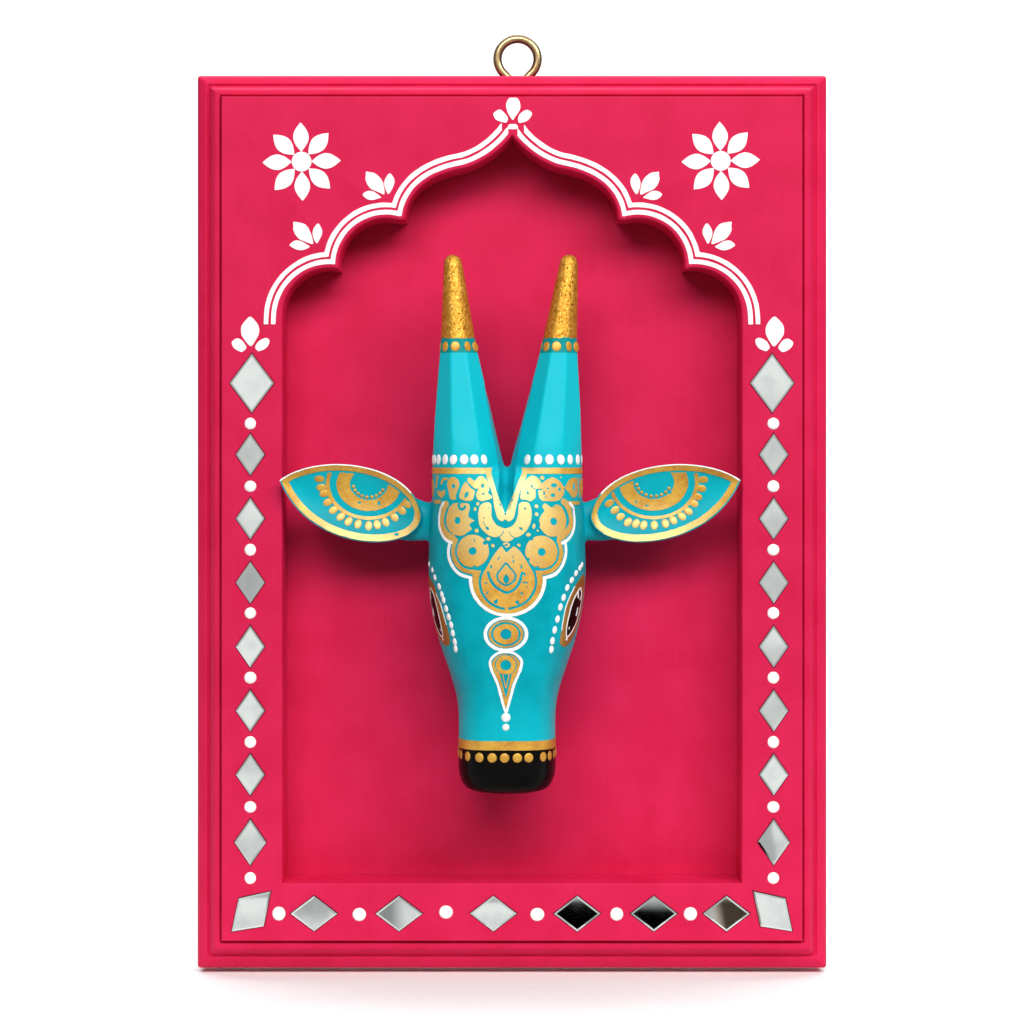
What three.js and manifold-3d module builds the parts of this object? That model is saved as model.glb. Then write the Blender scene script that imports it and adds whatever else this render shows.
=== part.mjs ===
// A painted wooden cow-head wall mask in a niche frame with an arched opening.
// Millimetres, +Z up, front towards -Y. Everything is laid out from the middle of the frame's
// bottom edge, with the frame's flat face at y = 0, and then moved so that the place where a
// nail bears inside the hanging ring is the origin.
import * as THREE from "three";
import { mergeVertices } from "three/addons/utils/BufferGeometryUtils.js";
import Module from "manifold-3d";

// Gap between pieces that touch
const GAP = 0.3;

// Frame board: 8.5 x 12 inch outline, 18 mm board, 4 mm back panel
const FRAME_W = 215;
const FRAME_H = 305;
const BOARD_T = 18;
const PANEL_T = 4;
const PANEL_INSET = 3;
const CORNER_R = 1;
const SHARPEST_R = 0.05;

// The moulding is a little wider along the bottom than at the sides and the top
const MOULDING_TOP = 8.3;
const MOULDING_SIDE = 9.2;
const MOULDING_BOTTOM = 10.8;
// Its section from the outer edge to the flat face: share of the width, depth behind the face
const MOULDING_SECTION = [
  [0.0, 8.0], [0.05, 7.0], [0.12, 6.3], [0.3, 5.2], [0.39, 4.95], [0.43, 5.75],
  [0.48, 5.3], [0.56, 3.6], [0.63, 2.4], [0.71, 1.7], [0.81, 1.45], [0.89, 1.6],
  [0.922, 2.3], [0.938, 3.4], [0.96, 3.4], [0.968, 0.4], [1.0, 0.0],
];

// Niche opening and its arch, half widths measured from the frame's middle
const NICHE_HALF_W = 77.8;
const NICHE_FLOOR = 30.2;
const ARCH_APEX = [0, 283.7];
const OGEE_HANDLES = [[3.6, 278.6], [11.0, 273.2]];
const ARCH_SHOULDER = [18.0, 272.1];
const UPPER_LOBE_HANDLES = [[27.5, 270.2], [35.6, 265.0]];
const INNER_CUSP = [36.1, 255.2];
const OUTER_CUSP = [58.6, 238.2];
const LOBE_R = 15.9;
const MIDDLE_LOBE = [42.7, 239.6];
const SPRING_Z = 222.8;
const ARC_STEPS = 8;

// Inlaid mirrors: width and height of each kind, and where the middles are
const MIRROR_T = 1.5;
const MIRROR_PROUD = 0.3;
const MIRROR_BEVEL = 0.7;
const BEVEL_DROP = 0.3;
const SMALL_MIRROR = [9.8, 14.1];
const LAST_MIRROR = [10.8, 15.6];
const LARGE_MIRROR = [14.9, 20.0];
const BOTTOM_MIRROR = [15.8, 12.0];
const COLUMN_X = 88.7;
const LARGE_MIRROR_AT = [88.2, 199.7];
const COLUMN_TOP_Z = 175.5;
const COLUMN_PITCH = 21.7;
const COLUMN_COUNT = 6;
const LAST_MIRROR_Z = 44.1;
const BOTTOM_ROW_Z = 19.9;
// The bottom row was spaced by eye, so its steps differ
const BOTTOM_ROW_X = [-67.1, -38.3, -6.3, 22.1, 48.1, 72.7];
// The corner mirrors are skewed: corners from their middle, on the right-hand side
const CORNER_MIRROR = [[-6.6, 6.9], [4.2, 4.6], [6.6, -6.6], [-4.2, -4.9]];
const CORNER_MIRROR_AT = [88.4, 20.5];

// Cow head: its middle line lies a little to the left of the frame's
const HEAD_X = -1.65;
const HEAD_SEGMENTS = 32;
const HEAD_STEPS = 24;
const CHIN_CROWDING = 1.35;
const BACK_SQUARENESS = 6;
// Sections from the chin up: height, half width, how far the face stands in front of the frame's
// face, how far it reaches behind it, depth of the widest place, and squareness of the front
const HEAD_SECTIONS = [
  [63.1, 9.5, 21.0, 2.0, -8.0, 2.6],
  [64.1, 13.2, 25.0, 4.5, -8.0, 2.7],
  [66.8, 15.4, 27.9, 6.5, -7.5, 2.8],
  [71.5, 16.3, 28.9, 8.0, -7.0, 2.9],
  [86.0, 16.2, 29.0, 11.0, -5.0, 2.9],
  [94.5, 17.0, 28.8, 14.0, -4.0, 2.8],
  [104.3, 20.0, 28.6, 18.5, -2.0, 2.8],
  [113.0, 23.0, 28.4, 20.0, 0.0, 2.7],
  [124.0, 25.5, 28.0, 20.0, 1.0, 2.6],
  [136.0, 26.6, 27.4, 20.0, 2.0, 2.6],
  [150.0, 26.2, 26.5, 20.0, 2.0, 2.6],
  [160.0, 25.5, 25.2, 20.0, 2.0, 2.5],
  [166.5, 24.8, 23.4, 18.0, 1.0, 2.4],
  [170.0, 23.6, 20.8, 13.0, 0.0, 2.4],
  [171.3, 19.0, 15.0, 6.0, -2.0, 2.3],
];

// Horns: eight-sided above the brow. Height, half width, half depth, depth of the middle, how
// flat the facets are, and the middle across the frame of the left and of the right horn
const HORN_SECTIONS = [
  [148.0, 10.5, 14.5, -4.5, 0.0, -13.0, 10.0],
  [158.0, 13.0, 17.8, -5.2, 0.0, -13.5, 10.4],
  [173.7, 11.8, 16.0, -5.6, 0.4, -14.9, 11.7],
  [188.0, 9.6, 12.6, -5.9, 1.0, -16.2, 13.4],
  [210.4, 6.2, 7.8, -6.4, 1.0, -17.9, 15.7],
  [238.0, 3.3, 3.6, -7.0, 0.8, -19.7, 18.9],
  [241.4, 2.6, 2.7, -7.0, 0.5, -19.9, 19.1],
  [242.6, 1.2, 1.3, -7.0, 0.0, -19.9, 19.2],
];
const HORN_LEFT = 5;
const HORN_RIGHT = 6;
const HORN_STEPS = 14;
const HORN_POINTS = 16;
const TIP_CROWDING = 1.8;

// The groove carved between the horns: where its bottom line meets the brow, how steeply that
// line climbs towards the back, the lean of its sides, and the height where it ends
const GROOVE_X = -1.9;
const GROOVE_FOOT = [-25.5, 156.4];
const GROOVE_CLIMB = 0.742;
const GROOVE_LEAN = 0.293;
const GROOVE_TOP = 196;
const GROOVE_FRONT = -40;

// Ears: scooped leaves. Their edges are curves from the round inner end to the tip, given as
// distance out from the ears' middle line and height
const EAR_MIDDLE_X = -2.0;
const EAR_INNER = [28.4, 154.8];
const EAR_TIP = [76.5, 166.9];
const EAR_UPPER = [[30.6, 172.4], [62.3, 177.3]];
const EAR_LOWER = [[28.4, 141.6], [66.7, 140.8]];
const EAR_RIGHT_STRETCH = 1.056;
const EAR_Y = -4.5;
const EAR_LIP = 1.1;
const EAR_SCOOP = 3.2;
const EAR_BELLY = 5.0;
const EAR_FULL_WIDTH = 22;
const EAR_STEPS = 16;
const EAR_ACROSS = 8;
// The first and last sections stand this share of the edge in from the points where edges meet
const EAR_END_SHARE = 0.01;
// The stem behind each ear: distance out, height, half height, half thickness, depth
const STEM_SECTIONS = [
  [20, 152.7, 7.0, 4.6, 0.5], [26, 152.8, 6.5, 3.8, 0.5], [31, 153.6, 7.4, 3.0, 0.7],
  [36, 155.3, 8.6, 2.3, 0.6], [42, 156.8, 6.0, 1.2, -0.2],
];
const STEM_SIDES = 12;

// Screw eye of 3 mm brass wire, its neck sunk in a slot in the frame's top edge
const WIRE_R = 1.5;
const EYE_R = 6.9;
const EYE_X = 1.9;
const EYE_Y = 13;
const EYE_Z = FRAME_H + 6.5;
const EYE_STEPS = 18;
const WIRE_SIDES = 8;
const SHANK_LENGTH = 14;
const SHANK_TIP_R = 0.5;
const HOLE_SIDES = 12;
// The legs leave the ring at this angle and meet in a neck, and each half of the ring turns far
// enough to pass the top a little
const LEG_DEG = -45;
const HALF_TURN_DEG = 140;
const SLOT_W = 16;
const SLOT_DEPTH = 6;
const SLOT_T = 4;

const wasm = await Module();
wasm.setup();

// A closed solid for joining and cutting, from any closed three.js geometry
function solidOf(geometry) {
  const bare = geometry.index ? geometry.toNonIndexed() : geometry.clone();
  bare.deleteAttribute("normal");
  bare.deleteAttribute("uv");
  const merged = mergeVertices(bare, 1e-4);
  return new wasm.Manifold(new wasm.Mesh({
    numProp: 3,
    vertProperties: new Float32Array(merged.attributes.position.array),
    triVerts: new Uint32Array(merged.index.array),
  }));
}

// A three.js geometry from a solid
function geometryOf(solid) {
  const mesh = solid.getMesh();
  const geometry = new THREE.BufferGeometry();
  geometry.setAttribute("position", new THREE.BufferAttribute(new Float32Array(mesh.vertProperties), 3));
  geometry.setIndex(new THREE.BufferAttribute(new Uint32Array(mesh.triVerts), 1));
  geometry.computeVertexNormals();
  return geometry;
}

// A closed skin through rings of points, each ring with the same count, ends closed by fans
function loft(rings) {
  const count = rings[0].length;
  const points = rings.flat();
  const faces = [];
  for (let r = 0; r + 1 < rings.length; r += 1) {
    for (let i = 0; i < count; i += 1) {
      const a = r * count + i;
      const b = r * count + ((i + 1) % count);
      faces.push([a, b, b + count], [a, b + count, a + count]);
    }
  }
  for (const [ring, turn] of [[0, true], [rings.length - 1, false]]) {
    const middle = new THREE.Vector3();
    rings[ring].forEach((p) => middle.addScaledVector(p, 1 / count));
    points.push(middle);
    for (let i = 0; i < count; i += 1) {
      const a = ring * count + i;
      const b = ring * count + ((i + 1) % count);
      faces.push(turn ? [b, a, points.length - 1] : [a, b, points.length - 1]);
    }
  }
  return closedGeometry(points, faces);
}

// An indexed geometry whose faces are turned outwards by the sign of its volume
function closedGeometry(points, faces) {
  let volume = 0;
  for (const [a, b, c] of faces) {
    volume += points[a].dot(new THREE.Vector3().crossVectors(points[b], points[c]));
  }
  const index = faces.flatMap(([a, b, c]) => (volume > 0 ? [a, b, c] : [a, c, b]));
  const geometry = new THREE.BufferGeometry();
  geometry.setAttribute("position", new THREE.Float32BufferAttribute(points.flatMap((p) => p.toArray()), 3));
  geometry.setIndex(index);
  return geometry;
}

// An outline in the frame's plane, pushed from one depth to another
function slab(shape, front, back) {
  const geometry = new THREE.ExtrudeGeometry(shape, { depth: back - front, bevelEnabled: false });
  geometry.rotateX(Math.PI / 2);
  geometry.translate(0, back, 0);
  return geometry;
}

// Reads a value between the rows of a table, eased so that the rows join smoothly
function between(rows, key, column) {
  let i = 0;
  while (i < rows.length - 2 && key > rows[i + 1][0]) i += 1;
  const slope = (k) => {
    const low = rows[Math.max(k - 1, 0)];
    const high = rows[Math.min(k + 1, rows.length - 1)];
    return (high[column] - low[column]) / (high[0] - low[0]);
  };
  const span = rows[i + 1][0] - rows[i][0];
  const t = THREE.MathUtils.clamp((key - rows[i][0]) / span, 0, 1);
  const ease = t * t * (3 - 2 * t);
  const start = t * (1 - t) * (1 - t) * span * slope(i);
  const end = t * t * (1 - t) * span * slope(i + 1);
  return rows[i][column] * (1 - ease) + rows[i + 1][column] * ease + start - end;
}

function signedPower(value, power) {
  return Math.sign(value) * Math.abs(value) ** power;
}

// One corner-rounded rectangle of the moulding, set in from the outer edge
function mouldingRing(share, depth) {
  const side = FRAME_W / 2 - share * MOULDING_SIDE;
  const top = FRAME_H - share * MOULDING_TOP;
  const bottom = share * MOULDING_BOTTOM;
  const r = CORNER_R * (1 - share) + SHARPEST_R;
  const corners = [[side, bottom, -90], [side, top, 0], [-side, top, 90], [-side, bottom, 180]];
  const ring = [];
  for (const [x, z, start] of corners) {
    for (const turn of [0, 45, 90]) {
      const angle = THREE.MathUtils.degToRad(start + turn);
      const cx = x - Math.sign(x) * r;
      const cz = z === bottom ? z + r : z - r;
      ring.push(new THREE.Vector3(cx + r * Math.cos(angle), depth, cz + r * Math.sin(angle)));
    }
  }
  return ring;
}

// The right half of the arch, from the apex down to where the straight side begins
function archHalf() {
  const bezier = (...points) => new THREE.CubicBezierCurve(...points.map((p) => new THREE.Vector2(...p)));
  const lobe = (cx, cz, from, to) => {
    const start = Math.atan2(from[1] - cz, from[0] - cx);
    const end = Math.atan2(to[1] - cz, to[0] - cx);
    return new THREE.EllipseCurve(cx, cz, LOBE_R, LOBE_R, start, end, true);
  };
  const curves = [
    bezier(ARCH_APEX, ...OGEE_HANDLES, ARCH_SHOULDER),
    bezier(ARCH_SHOULDER, ...UPPER_LOBE_HANDLES, INNER_CUSP),
    lobe(...MIDDLE_LOBE, INNER_CUSP, OUTER_CUSP),
    lobe(NICHE_HALF_W - LOBE_R, SPRING_Z, OUTER_CUSP, [NICHE_HALF_W, SPRING_Z]),
  ];
  return curves.flatMap((curve, i) => curve.getPoints(ARC_STEPS).slice(i === 0 ? 0 : 1));
}

function archShape() {
  const right = archHalf();
  const left = right.slice(1).reverse().map((p) => new THREE.Vector2(-p.x, p.y));
  const floor = [new THREE.Vector2(NICHE_HALF_W, NICHE_FLOOR), new THREE.Vector2(-NICHE_HALF_W, NICHE_FLOOR)];
  return new THREE.Shape([...left, ...right, ...floor]);
}

// Every mirror as a name and four corners in the frame's plane
function mirrorOutlines() {
  const diamond = ([w, h], x, z) => [[x, z + h / 2], [x + w / 2, z], [x, z - h / 2], [x - w / 2, z]];
  const outlines = [];
  for (const [side, sign] of [["left", -1], ["right", 1]]) {
    const [largeX, largeZ] = LARGE_MIRROR_AT;
    outlines.push([`mirror_${side}_large`, diamond(LARGE_MIRROR, sign * largeX, largeZ)]);
    for (let i = 0; i < COLUMN_COUNT; i += 1) {
      const z = COLUMN_TOP_Z - i * COLUMN_PITCH;
      outlines.push([`mirror_${side}_${i + 1}`, diamond(SMALL_MIRROR, sign * COLUMN_X, z)]);
    }
    const lastName = `mirror_${side}_${COLUMN_COUNT + 1}`;
    outlines.push([lastName, diamond(LAST_MIRROR, sign * COLUMN_X, LAST_MIRROR_Z)]);
    const [cx, cz] = CORNER_MIRROR_AT;
    outlines.push([`mirror_${side}_corner`, CORNER_MIRROR.map(([x, z]) => [sign * (cx + x), cz + z])]);
  }
  BOTTOM_ROW_X.forEach((x, i) => {
    outlines.push([`mirror_bottom_${i + 1}`, diamond(BOTTOM_MIRROR, x, BOTTOM_ROW_Z)]);
  });
  return outlines;
}

// The corners moved outwards from their middle by about the given distance
function grown(corners, distance) {
  const cx = corners.reduce((sum, p) => sum + p[0], 0) / corners.length;
  const cz = corners.reduce((sum, p) => sum + p[1], 0) / corners.length;
  return corners.map(([x, z], i) => {
    const before = corners[(i + 3) % 4];
    const after = corners[(i + 1) % 4];
    const a = new THREE.Vector2(before[0] - x, before[1] - z).normalize();
    const b = new THREE.Vector2(after[0] - x, after[1] - z).normalize();
    const halfAngleSine = Math.sqrt((1 - a.dot(b)) / 2);
    const away = new THREE.Vector2(x - cx, z - cz).normalize().multiplyScalar(distance / halfAngleSine);
    return [x + away.x, z + away.y];
  });
}

function frameGeometry() {
  const rings = [[0, BOARD_T], ...MOULDING_SECTION].map(([share, depth]) => mouldingRing(share, depth));
  let board = solidOf(loft(rings));
  board = board.subtract(solidOf(slab(archShape(), -1, BOARD_T + 1)));
  const pocketFloor = MIRROR_T - MIRROR_PROUD + GAP;
  for (const [, corners] of mirrorOutlines()) {
    const points = grown(corners, GAP).map((p) => new THREE.Vector2(...p));
    board = board.subtract(solidOf(slab(new THREE.Shape(points), -1, pocketFloor)));
  }
  const slot = new THREE.BoxGeometry(SLOT_W, SLOT_T, 2 * SLOT_DEPTH);
  slot.translate(EYE_X, EYE_Y, FRAME_H);
  const holeDepth = SLOT_DEPTH + SHANK_LENGTH;
  const hole = new THREE.CylinderGeometry(WIRE_R + GAP, WIRE_R + GAP, holeDepth, HOLE_SIDES);
  hole.rotateX(Math.PI / 2);
  hole.translate(EYE_X, EYE_Y, FRAME_H - holeDepth / 2);
  board = board.subtract(solidOf(slot)).subtract(solidOf(hole));
  return geometryOf(board);
}

function panelGeometry() {
  const geometry = new THREE.BoxGeometry(FRAME_W - 2 * PANEL_INSET, PANEL_T, FRAME_H - 2 * PANEL_INSET);
  geometry.translate(0, BOARD_T + GAP + PANEL_T / 2, FRAME_H / 2);
  return geometry;
}

// A mirror tile: a flat plate whose front edges are bevelled
function mirrorGeometry(corners) {
  const ring = (outline, y) => outline.map(([x, z]) => new THREE.Vector3(x, y, z));
  const back = MIRROR_T - MIRROR_PROUD;
  const face = grown(corners, -MIRROR_BEVEL);
  return loft([
    ring(corners, back),
    ring(corners, -MIRROR_PROUD + BEVEL_DROP),
    ring(face, -MIRROR_PROUD),
  ]);
}

function headBody() {
  const rings = [];
  const low = HEAD_SECTIONS[0][0];
  const high = HEAD_SECTIONS[HEAD_SECTIONS.length - 1][0];
  for (let k = 0; k <= HEAD_STEPS; k += 1) {
    // Steps are closer together at the chin, where the form turns fastest
    const z = low + (high - low) * (k / HEAD_STEPS) ** CHIN_CROWDING;
    const [half, front, back, widest, square] = [1, 2, 3, 4, 5].map((c) => between(HEAD_SECTIONS, z, c));
    const ring = [];
    for (let i = 0; i < HEAD_SEGMENTS; i += 1) {
      const angle = (2 * Math.PI * i) / HEAD_SEGMENTS;
      const faceSide = Math.sin(angle) < 0;
      const power = 2 / (faceSide ? square : BACK_SQUARENESS);
      const depth = faceSide ? front + widest : back - widest;
      const x = HEAD_X + half * signedPower(Math.cos(angle), power);
      ring.push(new THREE.Vector3(x, widest + depth * signedPower(Math.sin(angle), power), z));
    }
    rings.push(ring);
  }
  return solidOf(loft(rings));
}

// How far an eight-sided outline stands out of the circle inside it, at an angle
function octagonReach(angle) {
  const turn = Math.PI / 4;
  const fromFlat = angle - turn * Math.round(angle / turn);
  return 1 / Math.cos(fromFlat);
}

// One horn, its middle line in the given column of the table
function horn(column) {
  const rings = [];
  const low = HORN_SECTIONS[0][0];
  const high = HORN_SECTIONS[HORN_SECTIONS.length - 1][0];
  for (let k = 0; k <= HORN_STEPS; k += 1) {
    // Steps are closer together at the tip
    const z = low + (high - low) * (1 - (1 - k / HORN_STEPS) ** TIP_CROWDING);
    const [rx, ry, y, facet, x] = [1, 2, 3, 4, column].map((c) => between(HORN_SECTIONS, z, c));
    const ring = [];
    for (let i = 0; i < HORN_POINTS; i += 1) {
      const angle = (2 * Math.PI * i) / HORN_POINTS;
      const reach = THREE.MathUtils.lerp(1, octagonReach(angle), facet);
      ring.push(new THREE.Vector3(x + rx * reach * Math.cos(angle), y + ry * reach * Math.sin(angle), z));
    }
    rings.push(ring);
  }
  return solidOf(loft(rings));
}

// The wood taken out between the horns: two leaning planes that meet in the climbing bottom line
function groove() {
  const [footY, footZ] = GROOVE_FOOT;
  const frontZ = footZ + (GROOVE_FRONT - footY) * GROOVE_CLIMB;
  const backY = footY + (GROOVE_TOP - footZ) / GROOVE_CLIMB;
  const spread = (GROOVE_TOP - frontZ) * GROOVE_LEAN;
  const corners = [
    new THREE.Vector3(GROOVE_X, GROOVE_FRONT, frontZ),
    new THREE.Vector3(GROOVE_X, backY, GROOVE_TOP),
    new THREE.Vector3(GROOVE_X - spread, GROOVE_FRONT, GROOVE_TOP),
    new THREE.Vector3(GROOVE_X + spread, GROOVE_FRONT, GROOVE_TOP),
  ];
  return solidOf(closedGeometry(corners, [[0, 1, 2], [0, 3, 1], [0, 2, 3], [1, 3, 2]]));
}

// One edge of an ear as a curve across the frame's plane, for the right-hand side
function earEdge(handles, stretch) {
  const reach = (x) => EAR_INNER[0] + (x - EAR_INNER[0]) * stretch;
  const points = [EAR_INNER, ...handles, EAR_TIP].map(([x, z]) => new THREE.Vector2(reach(x), z));
  return new THREE.CubicBezierCurve(...points);
}

function ear(sign, stretch) {
  const upper = earEdge(EAR_UPPER, stretch);
  const lower = earEdge(EAR_LOWER, stretch);
  const rings = [];
  for (let k = 0; k <= EAR_STEPS; k += 1) {
    const t = THREE.MathUtils.lerp(EAR_END_SHARE, 1 - EAR_END_SHARE, k / EAR_STEPS);
    const low = lower.getPoint(t);
    const high = upper.getPoint(t);
    const fullness = Math.min(1, low.distanceTo(high) / EAR_FULL_WIDTH);
    const across = (v, y) => {
      const point = low.clone().lerp(high, (v + 1) / 2);
      return new THREE.Vector3(EAR_MIDDLE_X + sign * point.x, y, point.y);
    };
    // Over the scooped front from the lower edge to the upper, then back round the belly
    const ring = [];
    for (let i = 0; i <= EAR_ACROSS; i += 1) {
      const v = (2 * i) / EAR_ACROSS - 1;
      ring.push(across(v, EAR_Y + EAR_SCOOP * fullness * (1 - v * v)));
    }
    for (let i = EAR_ACROSS; i >= 0; i -= 1) {
      const v = (2 * i) / EAR_ACROSS - 1;
      ring.push(across(v, EAR_Y + EAR_LIP + EAR_BELLY * fullness * Math.sqrt(1 - v * v)));
    }
    rings.push(ring);
  }
  return solidOf(loft(rings));
}

function earStem(sign) {
  const rings = STEM_SECTIONS.map(([x, z, tall, thick, y]) => {
    const ring = [];
    for (let i = 0; i < STEM_SIDES; i += 1) {
      const angle = (2 * Math.PI * i) / STEM_SIDES;
      ring.push(new THREE.Vector3(
        EAR_MIDDLE_X + sign * x,
        y + thick * Math.cos(angle),
        z + tall * Math.sin(angle),
      ));
    }
    return ring;
  });
  return solidOf(loft(rings));
}

function headGeometry() {
  let head = headBody().add(horn(HORN_LEFT)).add(horn(HORN_RIGHT)).subtract(groove());
  head = head.add(ear(-1, 1)).add(earStem(-1));
  head = head.add(ear(1, EAR_RIGHT_STRETCH)).add(earStem(1));
  // The back is sawn flat where the head is fixed to the panel
  const waste = new THREE.BoxGeometry(FRAME_W, BOARD_T, FRAME_H);
  waste.translate(0, BOARD_T * 1.5, FRAME_H / 2);
  return geometryOf(head.subtract(solidOf(waste)));
}

// Half of the loop: from the neck up its straight leg and round to just past the top
function loopHalf(sign) {
  const neck = [0, -EYE_R * Math.SQRT2, THREE.MathUtils.degToRad(LEG_DEG + 90)];
  const rings = [];
  const bend = [];
  for (let i = 0; i <= EYE_STEPS; i += 1) {
    const angle = THREE.MathUtils.degToRad(LEG_DEG + (HALF_TURN_DEG * i) / EYE_STEPS);
    bend.push([EYE_R * Math.cos(angle), EYE_R * Math.sin(angle), angle + Math.PI / 2]);
  }
  for (const [x, z, heading] of [neck, ...bend]) {
    const ring = [];
    for (let i = 0; i < WIRE_SIDES; i += 1) {
      const angle = (2 * Math.PI * (i + 0.5)) / WIRE_SIDES;
      const out = WIRE_R * Math.cos(angle);
      ring.push(new THREE.Vector3(
        EYE_X + sign * (x + out * Math.sin(heading)),
        EYE_Y + WIRE_R * Math.sin(angle),
        EYE_Z + z - out * Math.cos(heading),
      ));
    }
    rings.push(ring);
  }
  return solidOf(loft(rings));
}

// The two halves meet in a neck, and the shank goes down from it into the wood
function screwEyeGeometry() {
  const shank = new THREE.CylinderGeometry(WIRE_R, SHANK_TIP_R, SHANK_LENGTH, WIRE_SIDES);
  shank.rotateX(Math.PI / 2);
  shank.translate(EYE_X, EYE_Y, EYE_Z - EYE_R * Math.SQRT2 + WIRE_R / 2 - SHANK_LENGTH / 2);
  return geometryOf(loopHalf(-1).add(loopHalf(1)).add(solidOf(shank)));
}

function material(color, roughness, metalness) {
  return new THREE.MeshStandardMaterial({ color, roughness, metalness });
}

const pinkPaint = material("#e0304f", 0.55, 0);
const tealPaint = material("#12b4c6", 0.45, 0);
const brass = material("#b08d4f", 0.35, 1);
const mirrorGlass = material("#d5d8da", 0.05, 1);

function piece(name, geometry, finish) {
  const mesh = new THREE.Mesh(geometry, finish);
  mesh.name = name;
  return mesh;
}

const wallMask = new THREE.Group();
wallMask.add(piece("frame", frameGeometry(), pinkPaint));
wallMask.add(piece("back_panel", panelGeometry(), pinkPaint));
wallMask.add(piece("cow_head", headGeometry(), tealPaint));
wallMask.add(piece("screw_eye", screwEyeGeometry(), brass));
for (const [name, corners] of mirrorOutlines()) {
  wallMask.add(piece(name, mirrorGeometry(corners), mirrorGlass));
}

// A nail bears on the inside of the ring at its top
wallMask.position.set(-EYE_X, -EYE_Y, -(EYE_Z + EYE_R - WIRE_R));

const object = new THREE.Group();
object.add(wallMask);
export default object;
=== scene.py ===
# %% [markdown]
# # A painted wooden cow head in a niche frame
#
# The object is a wall mask: a cow's head carved in wood, painted turquoise with gold and white
# ornament, and fixed in a pink frame whose opening is an arch with cusps. Small diamond mirrors are
# let into the frame, and a brass ring carries the weight. This notebook builds its looks around the
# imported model, which already holds every piece at its true size.
#
# All sizes here are millimetres in the maker's layout: x across from the frame's middle, y back from
# the frame's flat face, z up from its bottom edge. One function turns them into the row's metres.

# %% Load the model and keep its box
import math

import bmesh
import bpy
import numpy as np
from mathutils import Matrix, Vector, geometry
from mathutils.bvhtree import BVHTree


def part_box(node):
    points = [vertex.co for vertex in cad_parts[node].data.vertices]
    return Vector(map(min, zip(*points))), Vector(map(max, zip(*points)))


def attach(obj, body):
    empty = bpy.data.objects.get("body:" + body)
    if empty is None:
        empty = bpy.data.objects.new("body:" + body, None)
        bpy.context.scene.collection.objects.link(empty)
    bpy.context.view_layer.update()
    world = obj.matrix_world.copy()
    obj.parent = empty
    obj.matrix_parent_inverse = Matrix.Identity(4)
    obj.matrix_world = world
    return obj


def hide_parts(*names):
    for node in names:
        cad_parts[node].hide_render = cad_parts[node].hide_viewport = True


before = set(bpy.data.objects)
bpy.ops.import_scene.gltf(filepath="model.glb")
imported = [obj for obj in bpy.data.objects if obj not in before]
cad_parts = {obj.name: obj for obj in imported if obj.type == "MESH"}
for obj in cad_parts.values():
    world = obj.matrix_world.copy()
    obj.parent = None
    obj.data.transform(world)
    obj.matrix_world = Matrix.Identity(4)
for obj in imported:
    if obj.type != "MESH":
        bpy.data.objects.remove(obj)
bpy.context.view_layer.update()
print("pieces in the model:", len(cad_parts))

# %% Sizes that the pieces share
MM = 0.001
# The nail bears here, inside the ring's top: the row's origin in the layout
NAIL = (1.9, 13.0, 316.9)
FRAME_W = 215.0
FRAME_H = 305.0
BOARD_T = 18.0
HEAD_X = -1.65


def place(points):
    """Layout millimetres as row metres."""
    return (np.asarray(points, float) - NAIL) * MM


print("frame", FRAME_W, "x", FRAME_H, "mm")

# %% [markdown]
# ## The camera comes first
#
# The photograph was taken square on, from a little above the middle, about 0.9 m away. A long lens
# that far away shows how much of each niche wall is seen, so the distance matters more than the lens.
# The frame stands a little high in the picture, which a small vertical shift gives without tilting
# the camera, so that upright edges stay upright.

# %% Camera
CAMERA_AT = (0.0, -900.0, 175.0)
MM_PER_PIXEL = 0.339
PICTURE = 1024
SENSOR_MM = 36.0
AXIS_PIXEL = 456

camera = bpy.data.objects.new("camera", bpy.data.cameras.new("camera"))
bpy.context.scene.collection.objects.link(camera)
camera.location = place(CAMERA_AT)
camera.rotation_euler = (math.radians(90), 0, 0)
camera.data.sensor_width = SENSOR_MM
camera.data.lens = SENSOR_MM * -CAMERA_AT[1] / (MM_PER_PIXEL * PICTURE)
camera.data.shift_y = (AXIS_PIXEL - PICTURE / 2) / PICTURE
camera.data.clip_start = 0.05
camera.data.clip_end = 20
bpy.context.scene.camera = camera
print("lens", round(camera.data.lens, 1), "mm")

# %% [markdown]
# ## Small tools for meshes
#
# Most pieces are lofts: rings of points joined into a closed skin. Unions and cuts of such skins are
# left to the Boolean modifier, which Blender solves exactly, and the result is kept as a plain mesh.

# %% Mesh tools
def new_object(name, points, faces, smooth=True, turn_out=True):
    """An object from layout points and faces, its normals turned outwards unless they are already."""
    mesh = bpy.data.meshes.new(name)
    mesh.from_pydata([tuple(p) for p in place(points)], [], [tuple(f) for f in faces])
    if turn_out:
        work = bmesh.new()
        work.from_mesh(mesh)
        bmesh.ops.recalc_face_normals(work, faces=work.faces)
        work.to_mesh(mesh)
        work.free()
    if smooth:
        mesh.shade_smooth()
    else:
        mesh.shade_flat()
    made = bpy.data.objects.new(name, mesh)
    bpy.context.scene.collection.objects.link(made)
    return made


def loft(rings):
    """Points and faces of a closed skin through rings with equal counts."""
    rings = np.asarray(rings, float)
    rows, count = rings.shape[:2]
    faces = []
    for r in range(rows - 1):
        for i in range(count):
            a = r * count + i
            b = r * count + (i + 1) % count
            faces.append((a, b, b + count, a + count))
    faces.append(tuple(range(count))[::-1])
    faces.append(tuple((rows - 1) * count + i for i in range(count)))
    return list(rings.reshape(-1, 3)), faces


def join_skins(skins):
    """Several closed skins as one list of points and faces."""
    points = []
    faces = []
    for more_points, more_faces in skins:
        faces += [tuple(i + len(points) for i in face) for face in more_faces]
        points += list(more_points)
    return points, faces


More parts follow.
